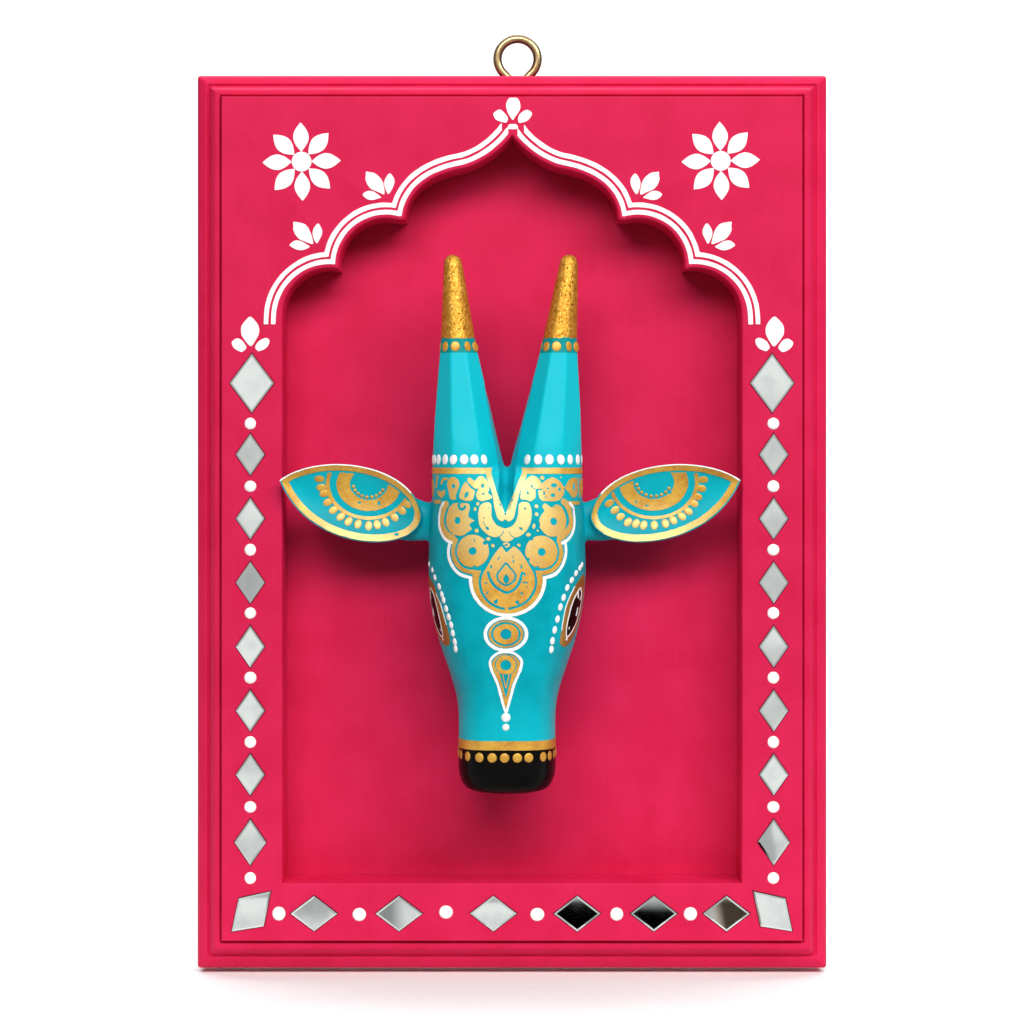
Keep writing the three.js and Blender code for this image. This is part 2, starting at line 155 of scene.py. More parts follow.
def bake_modifiers(made):
    """Keeps what the modifiers give as the object's own mesh."""
    graph = bpy.context.evaluated_depsgraph_get()
    mesh = bpy.data.meshes.new_from_object(made.evaluated_get(graph))
    made.modifiers.clear()
    old = made.data
    made.data = mesh
    bpy.data.meshes.remove(old)
    return made


def carve(made, tool, operation="DIFFERENCE"):
    """Cuts or joins another object into this one and removes the other."""
    step = made.modifiers.new("carve", "BOOLEAN")
    step.operation = operation
    step.solver = "MANIFOLD"
    step.object = tool
    bake_modifiers(made)
    bpy.data.objects.remove(tool)
    return made


def crisp(made, degrees):
    """Smooth shading, with an edge kept sharp where faces meet at more than this angle."""
    made.data.shade_smooth()
    made.data.set_sharp_from_angle(angle=math.radians(degrees))
    return made


def keep(made, material, slot, *nodes):
    """Gives a finished piece its material, sets it on the root body and hides the model's pieces that it
    replaces.
    """
    made.data.materials.clear()
    made.data.materials.append(material)
    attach(made, "root")
    if nodes:
        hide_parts(*nodes)
    made.data.calc_loop_triangles()
    print(made.name, len(made.data.loop_triangles), "triangles")
    return made


# %% [markdown]
# ## Small tools for materials
#
# Every finish here is mixed from a few noises read in Object coordinates, which are metres in the
# row's own frame, so a pattern has its true scale on every piece. A scale of 1000 is one millimetre.

# %% Material tools
def feed(tree, socket, value):
    """Links a value to a node's socket, or sets it there if it is a plain one."""
    if isinstance(value, bpy.types.NodeSocket):
        tree.links.new(value, socket)
    else:
        socket.default_value = value


def add_node(tree, kind, inputs=(), **settings):
    made = tree.nodes.new(kind)
    for key, value in settings.items():
        setattr(made, key, value)
    for key, value in dict(inputs).items():
        feed(tree, made.inputs[key], value)
    return made


class Finish:
    """A material being mixed: nodes are added by kind, with their inputs and settings."""

    def __init__(self, name):
        self.material = bpy.data.materials.new(name)
        self.material.use_nodes = True
        self.tree = self.material.node_tree
        self.shader = self.tree.nodes["Principled BSDF"]
        self.where = self.add("ShaderNodeTexCoord").outputs["Object"]

    def add(self, kind, inputs=(), **settings):
        return add_node(self.tree, kind, inputs, **settings)

    def set(self, **values):
        """Sets or links the shader's own sockets, their names written with underscores."""
        for key, value in values.items():
            feed(self.tree, self.shader.inputs[key.replace("_", " ")], value)

    def noise(self, size_mm, detail=2.0, stretch=(1, 1, 1), roughness=0.5):
        """A noise whose blobs are about this size, made longer along an axis by its stretch."""
        scale = [1 / (size_mm * MM * s) for s in stretch]
        moved = self.add("ShaderNodeMapping", {"Vector": self.where, "Scale": scale})
        inputs = {"Vector": moved.outputs[0], "Scale": 1.0, "Detail": detail, "Roughness": roughness}
        return self.add("ShaderNodeTexNoise", inputs).outputs["Fac"]

    def ramp(self, value, low, high, start=0.0, end=1.0):
        """Maps a value between two limits to the range from start to end."""
        inputs = {"Value": value, "From Min": low, "From Max": high, "To Min": start, "To Max": end}
        return self.add("ShaderNodeMapRange", inputs).outputs[0]

    def math(self, operation, a, b=0.0):
        return self.add("ShaderNodeMath", {0: a, 1: b}, operation=operation).outputs[0]

    def mix(self, share, a, b):
        """Two colours mixed."""
        inputs = {"Factor": share, 6: a, 7: b}
        return self.add("ShaderNodeMix", inputs, data_type="RGBA").outputs[2]

    def bump(self, height, depth_mm, under=None):
        inputs = {"Height": height, "Distance": depth_mm * MM, "Strength": 1.0}
        if under is not None:
            inputs["Normal"] = under
        return self.add("ShaderNodeBump", inputs).outputs[0]

    def axis(self, name):
        """One of the Object coordinates."""
        return self.add("ShaderNodeSeparateXYZ", {0: self.where}).outputs[name]

    def away_from(self, point):
        """How far a place is from a layout point: across, and in all as seen from the front."""
        middle = place(point)
        across = self.math("SUBTRACT", self.axis("X"), middle[0])
        up = self.math("SUBTRACT", self.axis("Z"), middle[2])
        squares = self.math("ADD", self.math("POWER", across, 2), self.math("POWER", up, 2))
        return across, self.math("SQRT", squares)


def colour(red, green, blue):
    """A colour read off in 0 to 255 as the linear values that a shader takes."""
    def linear(v):
        v /= 255
        return v / 12.92 if v <= 0.04045 else ((v + 0.055) / 1.055) ** 2.4
    return (linear(red), linear(green), linear(blue), 1.0)


print("mid grey as a shader takes it", round(colour(128, 128, 128)[0], 3))

# %% [markdown]
# ## Pink paint
#
# The frame and the panel are brushed with a matt pink. Close up there are soft brush lines along the
# grain, a faint mottling where the paint is thicker, and a satin sheen. The brush lines come from a
# noise stretched along z, the mottling from a broad noise, and both also feed the bump.

# %% Pink paint
PINK = colour(217, 31, 80)
PINK_DEEP = colour(210, 24, 72)
PINK_PALE = colour(224, 48, 95)


def pink_paint(name):
    """The pink finish, and its colour for a piece that is pink only in part."""
    mix = Finish(name)
    strokes = mix.noise(0.7, detail=3, stretch=(1, 1, 28))
    grain = mix.noise(1.8, detail=4, stretch=(1, 1, 14))
    mottle = mix.noise(14, detail=4)
    pores = mix.noise(0.45, detail=2)
    base = mix.mix(mix.ramp(mottle, 0.35, 0.65), PINK_DEEP, PINK)
    base = mix.mix(mix.ramp(strokes, 0.48, 0.78, 0, 0.14), base, PINK_PALE)
    mix.set(Base_Color=base, Roughness=mix.ramp(mottle, 0.3, 0.7, 0.5, 0.66))
    mix.set(Specular_IOR_Level=0.12)
    relief = mix.bump(strokes, 0.012)
    relief = mix.bump(grain, 0.03, relief)
    mix.set(Normal=mix.bump(pores, 0.022, relief))
    return mix, base


frame_finish, _ = pink_paint("pink_frame_paint")
print("mixed", frame_finish.material.name)

# %% [markdown]
# ## The board and its moulded edge
#
# The frame is one board. Its rim is a small moulding run with a router: a slope, a bead and a fine
# groove before the flat face. A loft of mitred rings, one for each point of the moulding's section,
# makes it. Rounding the section's corners first by cutting them twice, as Chaikin's method does,
# gives the soft edges that paint leaves.

# %% Moulding
MOULDING_TOP = 8.3
MOULDING_SIDE = 9.2
MOULDING_BOTTOM = 10.8
CORNER_R = 1.0
SHARPEST_R = 0.05
CORNER_STEPS = 5
# From the outer edge to the flat face: share of the width, depth behind the face
MOULDING_SECTION = [
    (0, 8), (0.05, 7), (0.12, 6.3), (0.3, 5.2), (0.39, 4.95), (0.43, 5.75), (0.48, 5.3), (0.56, 3.6),
    (0.63, 2.4), (0.71, 1.7), (0.81, 1.45), (0.89, 1.6), (0.922, 2.3), (0.938, 3.4), (0.96, 3.4),
    (0.968, 0.4), (1, 0)]


def soften(section, rounds=2):
    """Cuts the corners of an open line, keeping its two ends."""
    for _ in range(rounds):
        cut = [section[0]]
        for (a, b), (c, d) in zip(section, section[1:]):
            cut.append((0.75 * a + 0.25 * c, 0.75 * b + 0.25 * d))
            cut.append((0.25 * a + 0.75 * c, 0.25 * b + 0.75 * d))
        section = cut + [section[-1]]
    return section


def moulding_ring(share, depth):
    side = FRAME_W / 2 - share * MOULDING_SIDE
    top = FRAME_H - share * MOULDING_TOP
    bottom = share * MOULDING_BOTTOM
    radius = CORNER_R * (1 - share) + SHARPEST_R
    ring = []
    for x, z, start in ((side, bottom, -90), (side, top, 0), (-side, top, 90), (-side, bottom, 180)):
        cx = x - math.copysign(radius, x)
        cz = z + radius if z == bottom else z - radius
        for k in range(CORNER_STEPS + 1):
            angle = math.radians(start + 90 * k / CORNER_STEPS)
            ring.append((cx + radius * math.cos(angle), depth, cz + radius * math.sin(angle)))
    return ring


SQUARE_BACK = 0.1
section = [(0.0, BOARD_T), (0.0, BOARD_T - SQUARE_BACK)] + soften(MOULDING_SECTION)
board = new_object("frame_board", *loft([moulding_ring(*row) for row in section]))
print("moulding section has", len(section), "points")

# %% [markdown]
# ## The arch
#
# The opening has straight sides and a pointed top, with three scallops a side that meet in cusps. The
# scallops are arcs and two short curves, drawn for the right side and mirrored. The saw left the front
# edge sharp, and sanding eased it, so the cutter flares out by a quarter round at the face.

# %% Arch outline
NICHE_HALF_W = 77.8
NICHE_FLOOR = 30.2
ARCH_APEX = (0, 283.7)
OGEE_HANDLES = ((3.6, 278.6), (11, 273.2))
ARCH_SHOULDER = (18, 272.1)
UPPER_LOBE_HANDLES = ((27.5, 270.2), (35.6, 265))
INNER_CUSP = (36.1, 255.2)
OUTER_CUSP = (58.6, 238.2)
LOBE_R = 15.9
MIDDLE_LOBE = (42.7, 239.6)
SPRING_Z = 222.8
ARC_STEPS = 20
EASED_R = 0.9


def bezier(a, b, c, d, steps):
    """Points along a cubic curve, both ends included."""
    t = np.linspace(0, 1, steps + 1)[:, None]
    a, b, c, d = (np.array(p, float) for p in (a, b, c, d))
    return a * (1 - t) ** 3 + 3 * b * t * (1 - t) ** 2 + 3 * c * t ** 2 * (1 - t) + d * t ** 3


def arc(centre, radius, start, end, steps):
    """Points on a circle between two angles in radians."""
    angle = np.linspace(start, end, steps + 1)
    return np.stack([centre[0] + radius * np.cos(angle), centre[1] + radius * np.sin(angle)], 1)


def lobe(centre, first, last):
    angles = [math.atan2(p[1] - centre[1], p[0] - centre[0]) for p in (first, last)]
    return arc(centre, LOBE_R, *angles, ARC_STEPS)


def arch_half():
    """The right half from the apex down to where the straight side begins."""
    pieces = [
        bezier(ARCH_APEX, *OGEE_HANDLES, ARCH_SHOULDER, ARC_STEPS),
        bezier(ARCH_SHOULDER, *UPPER_LOBE_HANDLES, INNER_CUSP, ARC_STEPS),
        lobe(MIDDLE_LOBE, INNER_CUSP, OUTER_CUSP),
        lobe((NICHE_HALF_W - LOBE_R, SPRING_Z), OUTER_CUSP, (NICHE_HALF_W, SPRING_Z)),
    ]
    return np.concatenate([pieces[0]] + [p[1:] for p in pieces[1:]])


half = arch_half()
arch = np.concatenate([
    half, [(NICHE_HALF_W, NICHE_FLOOR), (-NICHE_HALF_W, NICHE_FLOOR)], half[:0:-1] * (-1, 1),
])


def offset(outline, distance):
    """A closed clockwise outline moved outwards, its corners mitred."""
    along = np.roll(outline, -1, 0) - outline
    along /= np.linalg.norm(along, axis=1)[:, None]
    normal = np.stack([-along[:, 1], along[:, 0]], 1)
    both = normal + np.roll(normal, 1, 0)
    both /= np.linalg.norm(both, axis=1)[:, None]
    return outline + both * (distance / (both * normal).sum(1))[:, None]


def standing(outline, depth):
    """A flat outline as points at one depth."""
    return [(x, depth, z) for x, z in outline]


# How far a cutter reaches past the wood, and the steps of its quarter round
PAST = 1.0
EASE_STEPS = 5
flare = [(EASED_R * (1 - math.sin(t)), EASED_R * (1 - math.cos(t)))
         for t in np.linspace(0, math.pi / 2, EASE_STEPS + 1)]
arch_rings = [standing(offset(arch, flare[0][0]), -PAST)]
arch_rings += [standing(offset(arch, away), depth) for away, depth in flare]
arch_rings += [standing(arch, BOARD_T + PAST)]
carve(board, new_object("arch_cutter", *loft(arch_rings)))
print("arch outline has", len(arch), "points")

# %% [markdown]
# ## Pockets for the mirrors, and the slot for the ring's neck
#
# The mirrors lie in shallow diamond pockets, 0.3 mm wider than the glass all round, and that gap is the
# thin dark line round each mirror. The rows follow a pitch, except along the bottom, where they were
# spaced by eye. All pockets are cut in one go, because the shapes don't touch. The ring's neck sinks
# into a slot in the top edge, over a hole for its shank.

# %% Mirror outlines
MIRROR_T = 1.5
MIRROR_PROUD = 0.3
FIT_GAP = 0.3
SMALL_MIRROR = (9.8, 14.1)
LAST_MIRROR = (10.8, 15.6)
LARGE_MIRROR = (14.9, 20)
BOTTOM_MIRROR = (15.8, 12)
COLUMN_X = 88.7
LARGE_MIRROR_AT = (88.2, 199.7)
COLUMN_TOP_Z = 175.5
COLUMN_PITCH = 21.7
COLUMN_COUNT = 6
LAST_MIRROR_Z = 44.1
BOTTOM_ROW_Z = 19.9
BOTTOM_ROW_X = (-67.1, -38.3, -6.3, 22.1, 48.1, 72.7)
CORNER_MIRROR = ((-6.6, 6.9), (4.2, 4.6), (6.6, -6.6), (-4.2, -4.9))
CORNER_MIRROR_AT = (88.4, 20.5)


def diamond(size, x, z):
    w, h = size
    return [(x, z + h / 2), (x + w / 2, z), (x, z - h / 2), (x - w / 2, z)]


def mirror_outlines():
    outlines = {}
    for side, sign in (("left", -1), ("right", 1)):
        x, z = LARGE_MIRROR_AT
        outlines[f"mirror_{side}_large"] = diamond(LARGE_MIRROR, sign * x, z)
        for i in range(COLUMN_COUNT):
            z = COLUMN_TOP_Z - i * COLUMN_PITCH
            outlines[f"mirror_{side}_{i + 1}"] = diamond(SMALL_MIRROR, sign * COLUMN_X, z)
        last = f"mirror_{side}_{COLUMN_COUNT + 1}"
        outlines[last] = diamond(LAST_MIRROR, sign * COLUMN_X, LAST_MIRROR_Z)
        x, z = CORNER_MIRROR_AT
        corners = [(sign * (x + dx), z + dz) for dx, dz in CORNER_MIRROR]
        outlines[f"mirror_{side}_corner"] = corners if sign == 1 else corners[::-1]
    for i, x in enumerate(BOTTOM_ROW_X):
        outlines[f"mirror_bottom_{i + 1}"] = diamond(BOTTOM_MIRROR, x, BOTTOM_ROW_Z)
    return {name: np.array(corners) for name, corners in outlines.items()}


mirrors = mirror_outlines()
pocket_floor = MIRROR_T - MIRROR_PROUD + FIT_GAP
pockets = []
for corners in mirrors.values():
    grown = offset(corners, FIT_GAP)
    pockets.append(loft([standing(grown, -PAST), standing(grown, pocket_floor)]))
carve(board, new_object("pocket_cutters", *join_skins(pockets)))
print(len(mirrors), "mirror pockets")

# %% Slot and hole for the ring
WIRE_R = 1.5
EYE_R = 6.9
EYE_AT = (1.9, 13.0, FRAME_H + 6.5)
SHANK_LENGTH = 14.0
SLOT_W = 16.0
SLOT_T = 4.0
SLOT_DEPTH = 6.0
SLOT_TAPER = 2.0
ALMOST_ROUND = 0.01
ROUND_STEPS = 32


def stadium(half_w, radius, z):
    """A slot's outline seen from above, round at both ends."""
    ring = []
    for k in range(ROUND_STEPS):
        angle = 2 * math.pi * (k + 0.5) / ROUND_STEPS
        shift = math.copysign(half_w - radius, math.cos(angle))
        x = EYE_AT[0] + shift + radius * math.cos(angle)
        ring.append((x, EYE_AT[1] + radius * math.sin(angle), z))
    return ring


hole_r = WIRE_R + FIT_GAP
slot_rings = [
    stadium(SLOT_W / 2, SLOT_T / 2, FRAME_H + PAST),
    stadium(SLOT_W / 2, SLOT_T / 2, FRAME_H - SLOT_DEPTH + SLOT_TAPER),
    stadium(hole_r + ALMOST_ROUND, hole_r, FRAME_H - SLOT_DEPTH),
    stadium(hole_r + ALMOST_ROUND, hole_r, FRAME_H - SLOT_DEPTH - SHANK_LENGTH),
]
carve(board, new_object("slot_cutter", *loft(slot_rings)))
# Degrees between faces above which an edge stays sharp
CRISP_DEG = {"board": 32, "ring": 50, "paint": 40, "head": 60}
crisp(board, CRISP_DEG["board"])
keep(board, frame_finish.material, "pink_paint", "frame")

# %% [markdown]
# ## The back panel
#
# The panel is a thin board behind the opening. Its shape in the model is already right, so the node
# stays and only gets a finish: the same pink in front, and bare brown hardboard behind, where nobody
# paints. The change is placed by the depth in the board, just behind its front face.

# %% Back panel
PANEL_FRONT_Y = BOARD_T + FIT_GAP
HARDBOARD = colour(133, 92, 58)
HARDBOARD_DARK = colour(98, 66, 41)
BARE_BEHIND = 0.8
EDGE_WAVER = 0.6


def panel_paint():
    mix, painted = pink_paint("pink_panel_paint")
    fibres = mix.noise(0.5, detail=5, roughness=0.7)
    board_colour = mix.mix(mix.ramp(fibres, 0.35, 0.65), HARDBOARD_DARK, HARDBOARD)
    edge = (PANEL_FRONT_Y + BARE_BEHIND - NAIL[1]) * MM
    wavy = mix.ramp(mix.noise(6, detail=3), 0.3, 0.7, -EDGE_WAVER * MM, EDGE_WAVER * MM)
    behind = mix.math("GREATER_THAN", mix.math("ADD", mix.axis("Y"), wavy), edge)
    mix.set(Base_Color=mix.mix(behind, painted, board_colour))
    return mix.material


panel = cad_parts["back_panel"]
panel.data.materials.clear()
panel.data.materials.append(panel_paint())
low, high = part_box("back_panel")
print("panel", [round(v / MM, 1) for v in high - low], "mm")

# %% [markdown]
# ## Mirrors
#
# Each mirror is a small plate of silvered glass with a narrow bevel. Pressed into wet glue by hand, none
# lies quite flat, so neighbours catch different parts of the room: one is white, the next grey or
# black. A tilt of a degree or so in each front, drawn from a fixed seed, gives that. The glass itself
# is a metal-like mirror with faint smudges.

# %% Mirror glass
SILVER = colour(229, 235, 233)
SILVER_WORN = colour(216, 223, 221)


def mirror_glass():
    mix = Finish("mirror_glass")
    smudges = mix.noise(5, detail=3)
    mix.set(Base_Color=mix.mix(mix.ramp(smudges, 0.45, 0.75), SILVER, SILVER_WORN))
    mix.set(Roughness=mix.ramp(smudges, 0.4, 0.75, 0.04, 0.06))
    mix.set(Metallic=1.0, Normal=mix.bump(mix.noise(12, detail=0), 0.004))
    return mix.material


glass = mirror_glass()
print("mixed", glass.name)

# %% Mirror tiles
MIRROR_BEVEL = 0.55
BEVEL_DROP = 0.07
# Radians
MOST_TILT = 0.03
tilts = np.random.default_rng(7)
for name, corners in mirrors.items():
    slope = tilts.uniform(-MOST_TILT, MOST_TILT, 2)
    face = offset(corners, -MIRROR_BEVEL)
    rim_depths = BEVEL_DROP - MIRROR_PROUD + (corners - corners.mean(0)) @ slope
    depths = -MIRROR_PROUD + (face - corners.mean(0)) @ slope
    tile = new_object(name + "_tile", *loft([
        standing(corners, MIRROR_T - MIRROR_PROUD),
        [(x, y, z) for (x, z), y in zip(corners, rim_depths)],
        [(x, y, z) for (x, z), y in zip(face, depths)],
    ]), smooth=False)
    keep(tile, glass, "mirror_glass", name)

# %% [markdown]
# ## The hanging ring
#
# The ring is a screw eye: one brass wire bent round, both legs running down into the neck, and a shank
# screwed into the wood. A wire is a sweep: a circle carried along a line. The line is an arc with two
# straight legs, and the shank is a tapered rod inside the hole, so it hardly shows.

# %% Aged brass
BRASS = colour(188, 160, 118)
BRASS_SHADE = colour(140, 108, 70)
DARK_EDGE_REFLECTION = colour(54, 48, 32)
PINK_INSIDE_REFLECTION = colour(86, 36, 24)
# Where each painted reflection starts and is full, as distances from the middle of the ring
DARK_EDGE_FROM = (EYE_R + 0.6, EYE_R + 1.3)
PINK_INSIDE_FROM = (EYE_R - 0.45, EYE_R - 1.1)
PAINTED_REFLECTION_SHARE = 0.9


def aged_brass():
    """Brass, olive-dark round the outside and red-brown inside the ring: painted reflections of the dark
    room and the pink frame.
    """
    mix = Finish("aged_brass")
    patina = mix.noise(2.5, detail=5, roughness=0.6)
    specks = mix.noise(0.35, detail=2)
    dull = mix.ramp(patina, 0.45, 0.75)
    _, away = mix.away_from(EYE_AT)
    # Painted reflections: olive-dark round the ring's outer edge, red-brown inside it
    outside, inside = (mix.ramp(away, start * MM, full * MM, 0, PAINTED_REFLECTION_SHARE)
                       for start, full in (DARK_EDGE_FROM, PINK_INSIDE_FROM))
    metal = mix.mix(dull, BRASS, BRASS_SHADE)
    metal = mix.mix(inside, mix.mix(outside, metal, DARK_EDGE_REFLECTION), PINK_INSIDE_REFLECTION)
    mix.set(Base_Color=metal, Metallic=1.0)
    rough = mix.math("ADD", mix.ramp(dull, 0, 1, 0.24, 0.36), mix.ramp(specks, 0.4, 0.8, 0, 0.06))
    mix.set(Roughness=rough, Normal=mix.bump(specks, 0.004))
    return mix.material


brass = aged_brass()
print("mixed", brass.name)

# %% Screw eye
EYE_STEPS = 60
WIRE_SIDES = 28
LEG_DEG = 45
SHANK_TIP_R = 0.5


def wire_ring(centre, heading, radius):
    """A round section of wire across its heading, in the plane of the frame."""
    ring = []
    for k in range(WIRE_SIDES):
        angle = 2 * math.pi * k / WIRE_SIDES
        out = radius * math.cos(angle)
        x = centre[0] + out * math.sin(heading)
        z = centre[1] - out * math.cos(heading)
        ring.append((EYE_AT[0] + x, EYE_AT[1] + radius * math.sin(angle), EYE_AT[2] + z))
    return ring


neck_drop = EYE_R * math.sqrt(2)
turn = math.radians(180 + 2 * LEG_DEG)
bend = [math.radians(-LEG_DEG) + turn * k / EYE_STEPS for k in range(EYE_STEPS + 1)]
line = [((0, -neck_drop), bend[0] + math.pi / 2)]
line += [((EYE_R * math.cos(t), EYE_R * math.sin(t)), t + math.pi / 2) for t in bend]
line += [((0, -neck_drop), bend[-1] + math.pi / 2)]
loop = new_object("hanging_ring", *loft([wire_ring(*at, WIRE_R) for at in line]))
shank_top = WIRE_R / 2 - neck_drop
shank_rings = [wire_ring((0, shank_top), -math.pi / 2, WIRE_R),
               wire_ring((0, shank_top - SHANK_LENGTH), -math.pi / 2, SHANK_TIP_R)]
carve(loop, new_object("shank", *loft(shank_rings)), "UNION")
crisp(loop, CRISP_DEG["ring"])
keep(loop, brass, "aged_brass", "screw_eye")

# %% [markdown]
# ## Painted ornament as thin skins
#
# White and gold paint lie on the wood, a tenth of a millimetre thick. Here each layer of paint is a real
# skin that lies on the surface, so it catches light at its edges as brushed paint does. It starts as a
# stencil: a flat grid of distances to the paint's edge, negative where there is paint. Adding a shape
# takes the smaller distance and cutting takes the larger, so any drawing is a list of simple shapes. A
# shape is its lowest and highest corner and a function that gives the distance to its edge.

# %% Shapes that know their distance
def oval(x, z, rx, rz, turn=0.0):
    """An ellipse, turned by an angle in radians."""
    reach = np.array((max(rx, rz),) * 2)
    cos, sin = math.cos(turn), math.sin(turn)

    def distance(u, v):
        a = (u - x) * cos + (v - z) * sin
        b = (v - z) * cos - (u - x) * sin
        k = np.hypot(a / rx, b / rz)
        slope = np.maximum(np.hypot(a / rx ** 2, b / rz ** 2), 1e-6)
        return np.where(k < 0.05, -min(rx, rz), k * (k - 1) / slope)
    return (x, z) - reach, (x, z) + reach, distance


def disc(x, z, r):
    return oval(x, z, r, r)


def stroke(points, width):
    """A brush line. Its width is one number, or one for each point."""
    points = np.asarray(points, float)
    halves = np.broadcast_to(np.asarray(width, float) / 2, len(points))

    def distance(u, v):
        nearest = np.full(u.shape, 1e9)
        for a, b, start, end in zip(points, points[1:], halves, halves[1:]):
            dx, dz = b - a
            t = np.clip(((u - a[0]) * dx + (v - a[1]) * dz) / max(dx * dx + dz * dz, 1e-9), 0, 1)
            away = np.hypot(u - a[0] - t * dx, v - a[1] - t * dz) - start - (end - start) * t
            nearest = np.minimum(nearest, away)
        return nearest
    return points.min(0) - halves.max(), points.max(0) + halves.max(), distance


def patch(points):
    """The area inside a closed line of points."""
    points = np.asarray(points, float)
    edge = stroke(np.vstack([points, points[:1]]), 0)[2]

    def distance(u, v):
        inside = np.zeros(u.shape, bool)
        for (x, z), (x2, z2) in zip(points, np.roll(points, -1, 0)):
            if z != z2:
                inside ^= ((z > v) != (z2 > v)) & (u < x + (v - z) * (x2 - x) / (z2 - z))
        return np.where(inside, -1, 1) * edge(u, v)
    return points.min(0), points.max(0), distance


def curve(points, closed=False, steps=6):
    """A smooth line through points, by Catmull and Rom's rule."""
    points = np.asarray(points, float)
    ends = (points[-1:], points[:2]) if closed else (points[:1], points[-1:])
    p = np.vstack([ends[0], points, ends[1]])
    t = np.linspace(0, 1, steps, endpoint=False)[:, None]
    spans = []
    for a, b, c, d in zip(p, p[1:], p[2:], p[3:]):
        spans.append(0.5 * (2 * b + (c - a) * t + (2 * a - 5 * b + 4 * c - d) * t ** 2
                            + (3 * b - 3 * c + d - a) * t ** 3))
    return np.vstack(spans if closed else spans + [points[-1:]])


def smooth_patch(points, steps=6):
    return patch(curve(points, closed=True, steps=steps))


def ring_of(shape, width):
    """A line of this width along a shape's edge."""
    low, high, distance = shape
    return low - width, high + width, lambda u, v: np.abs(distance(u, v)) - width / 2


def cut_by(shape, *others):
    """A shape less some others."""
    low, high, distance = shape

    def what_is_left(u, v):
        return np.max([distance(u, v)] + [-other[2](u, v) for other in others], axis=0)
    return low, high, what_is_left


print("a point 3 mm from a 2 mm disc's middle is", disc(0, 0, 2)[2](np.array(3.0), np.array(0.0)), "mm away")

# %% Stencil
FAR = 5.0
# The ways through a square of the grid, for each pattern of painted corners: edge in, edge out
WAYS = {
    1: [(0, 3)], 2: [(1, 0)], 3: [(1, 3)], 4: [(2, 1)], 5: [(0, 3), (2, 1)], 6: [(2, 0)], 7: [(2, 3)],
    8: [(3, 2)], 9: [(0, 2)], 10: [(1, 0), (3, 2)], 11: [(1, 2)], 12: [(3, 1)], 13: [(0, 1)], 14: [(3, 0)],
}


class Stencil:
    """A flat drawing held as a grid of distances to the paint's edge."""

    def __init__(self, left, bottom, right, top, grid=0.15):
        self.low = np.array((left, bottom), float)
        self.grid = grid
        columns, rows = np.ceil((np.array((right, top)) - self.low) / grid).astype(int) + 1
        self.depth = np.full((rows, columns), FAR)

    def around(self, low, high):
        """The part of the grid round a shape, and where its points are."""
        i, j = np.maximum(np.floor((np.asarray(low) - self.low) / self.grid).astype(int) - 4, 0)
        i2, j2 = np.ceil((np.asarray(high) - self.low) / self.grid).astype(int) + 5
        part = self.depth[j:j2, i:i2]
        u = self.low[0] + self.grid * np.arange(i, i + part.shape[1])
        v = self.low[1] + self.grid * np.arange(j, j + part.shape[0])
        return part, np.meshgrid(u, v)

    def add(self, *shapes):
        for low, high, distance in shapes:
            part, (u, v) = self.around(low, high)
            part[:] = np.minimum(part, distance(u, v))
        return self

    def cut(self, *shapes):
        for low, high, distance in shapes:
            part, (u, v) = self.around(low, high)
            part[:] = np.maximum(part, -distance(u, v))
        return self

    def waver(self, size, amount, seed):
        """Moves the edge in and out a little, as a hand does."""
        rng = np.random.default_rng(seed)
        rows, columns = self.depth.shape
        count = int(columns * self.grid / size) + 3, int(rows * self.grid / size) + 3
        coarse = rng.normal(0, amount, count[::-1])
        x = np.linspace(0, count[0] - 1.001, columns)
        z = np.linspace(0, count[1] - 1.001, rows)
        i, j = x.astype(int), z.astype(int)
        fx, fz = x - i, (z - j)[:, None]
        fx, fz = fx * fx * (3 - 2 * fx), fz * fz * (3 - 2 * fz)
        low = coarse[j][:, i] * (1 - fx) + coarse[j][:, i + 1] * fx
        high = coarse[j + 1][:, i] * (1 - fx) + coarse[j + 1][:, i + 1] * fx
        self.depth += low * (1 - fz) + high * fz
        return self

    def at(self, points):
        """The distance at any points, read between the grid's own."""
        i, j = ((points - self.low) / self.grid).T
        column = np.clip(i.astype(int), 0, self.depth.shape[1] - 2)
        row = np.clip(j.astype(int), 0, self.depth.shape[0] - 2)
        i, j = i - column, j - row
        low = self.depth[row, column] * (1 - i) + self.depth[row, column + 1] * i
        high = self.depth[row + 1, column] * (1 - i) + self.depth[row + 1, column + 1] * i
        return low * (1 - j) + high * j

    def painted(self):
        """The painted area in words."""
        return f"{(self.depth < 0).sum() * self.grid ** 2:.0f} mm2 of paint"

    def outlines(self):
        """Closed lines of points along the paint's edge."""
        inside = self.depth < 0
        kind = inside[:-1, :-1] + 2 * inside[:-1, 1:] + 4 * inside[1:, 1:] + 8 * inside[1:, :-1]
        follow = {}
        for j, i in zip(*np.nonzero((kind > 0) & (kind < 15))):
            edges = ((0, j, i), (1, j, i + 1), (0, j + 1, i), (1, j, i))
            for a, b in WAYS[kind[j, i]]:
                follow[edges[a]] = edges[b]
        loops = []
        while follow:
            start, at = follow.popitem()
            loop = [start]
            while at != start:
                loop.append(at)
                at = follow.pop(at)
            up, j, i = np.array(loop).T
            here, there = self.depth[j, i], self.depth[j + up, i + 1 - up]
            share = here / (here - there)
            where = np.stack([i + share * (1 - up), j + share * up], 1)
            loops.append(self.low + self.grid * where)
        return loops


print("a 2 mm disc is", Stencil(-3, -3, 3, 3).add(disc(0, 0, 2)).painted())

# %% From stencil to skin
# How far an outline may stray from its points, and the smallest patch of paint worth keeping
THIN_OUT = 0.02
SMALLEST = 0.05
PAINT_T = 0.13
PAINT_SUNK = 0.06
# Points inside keep this share of their spacing away from the edge
EDGE_CLEAR = 0.4


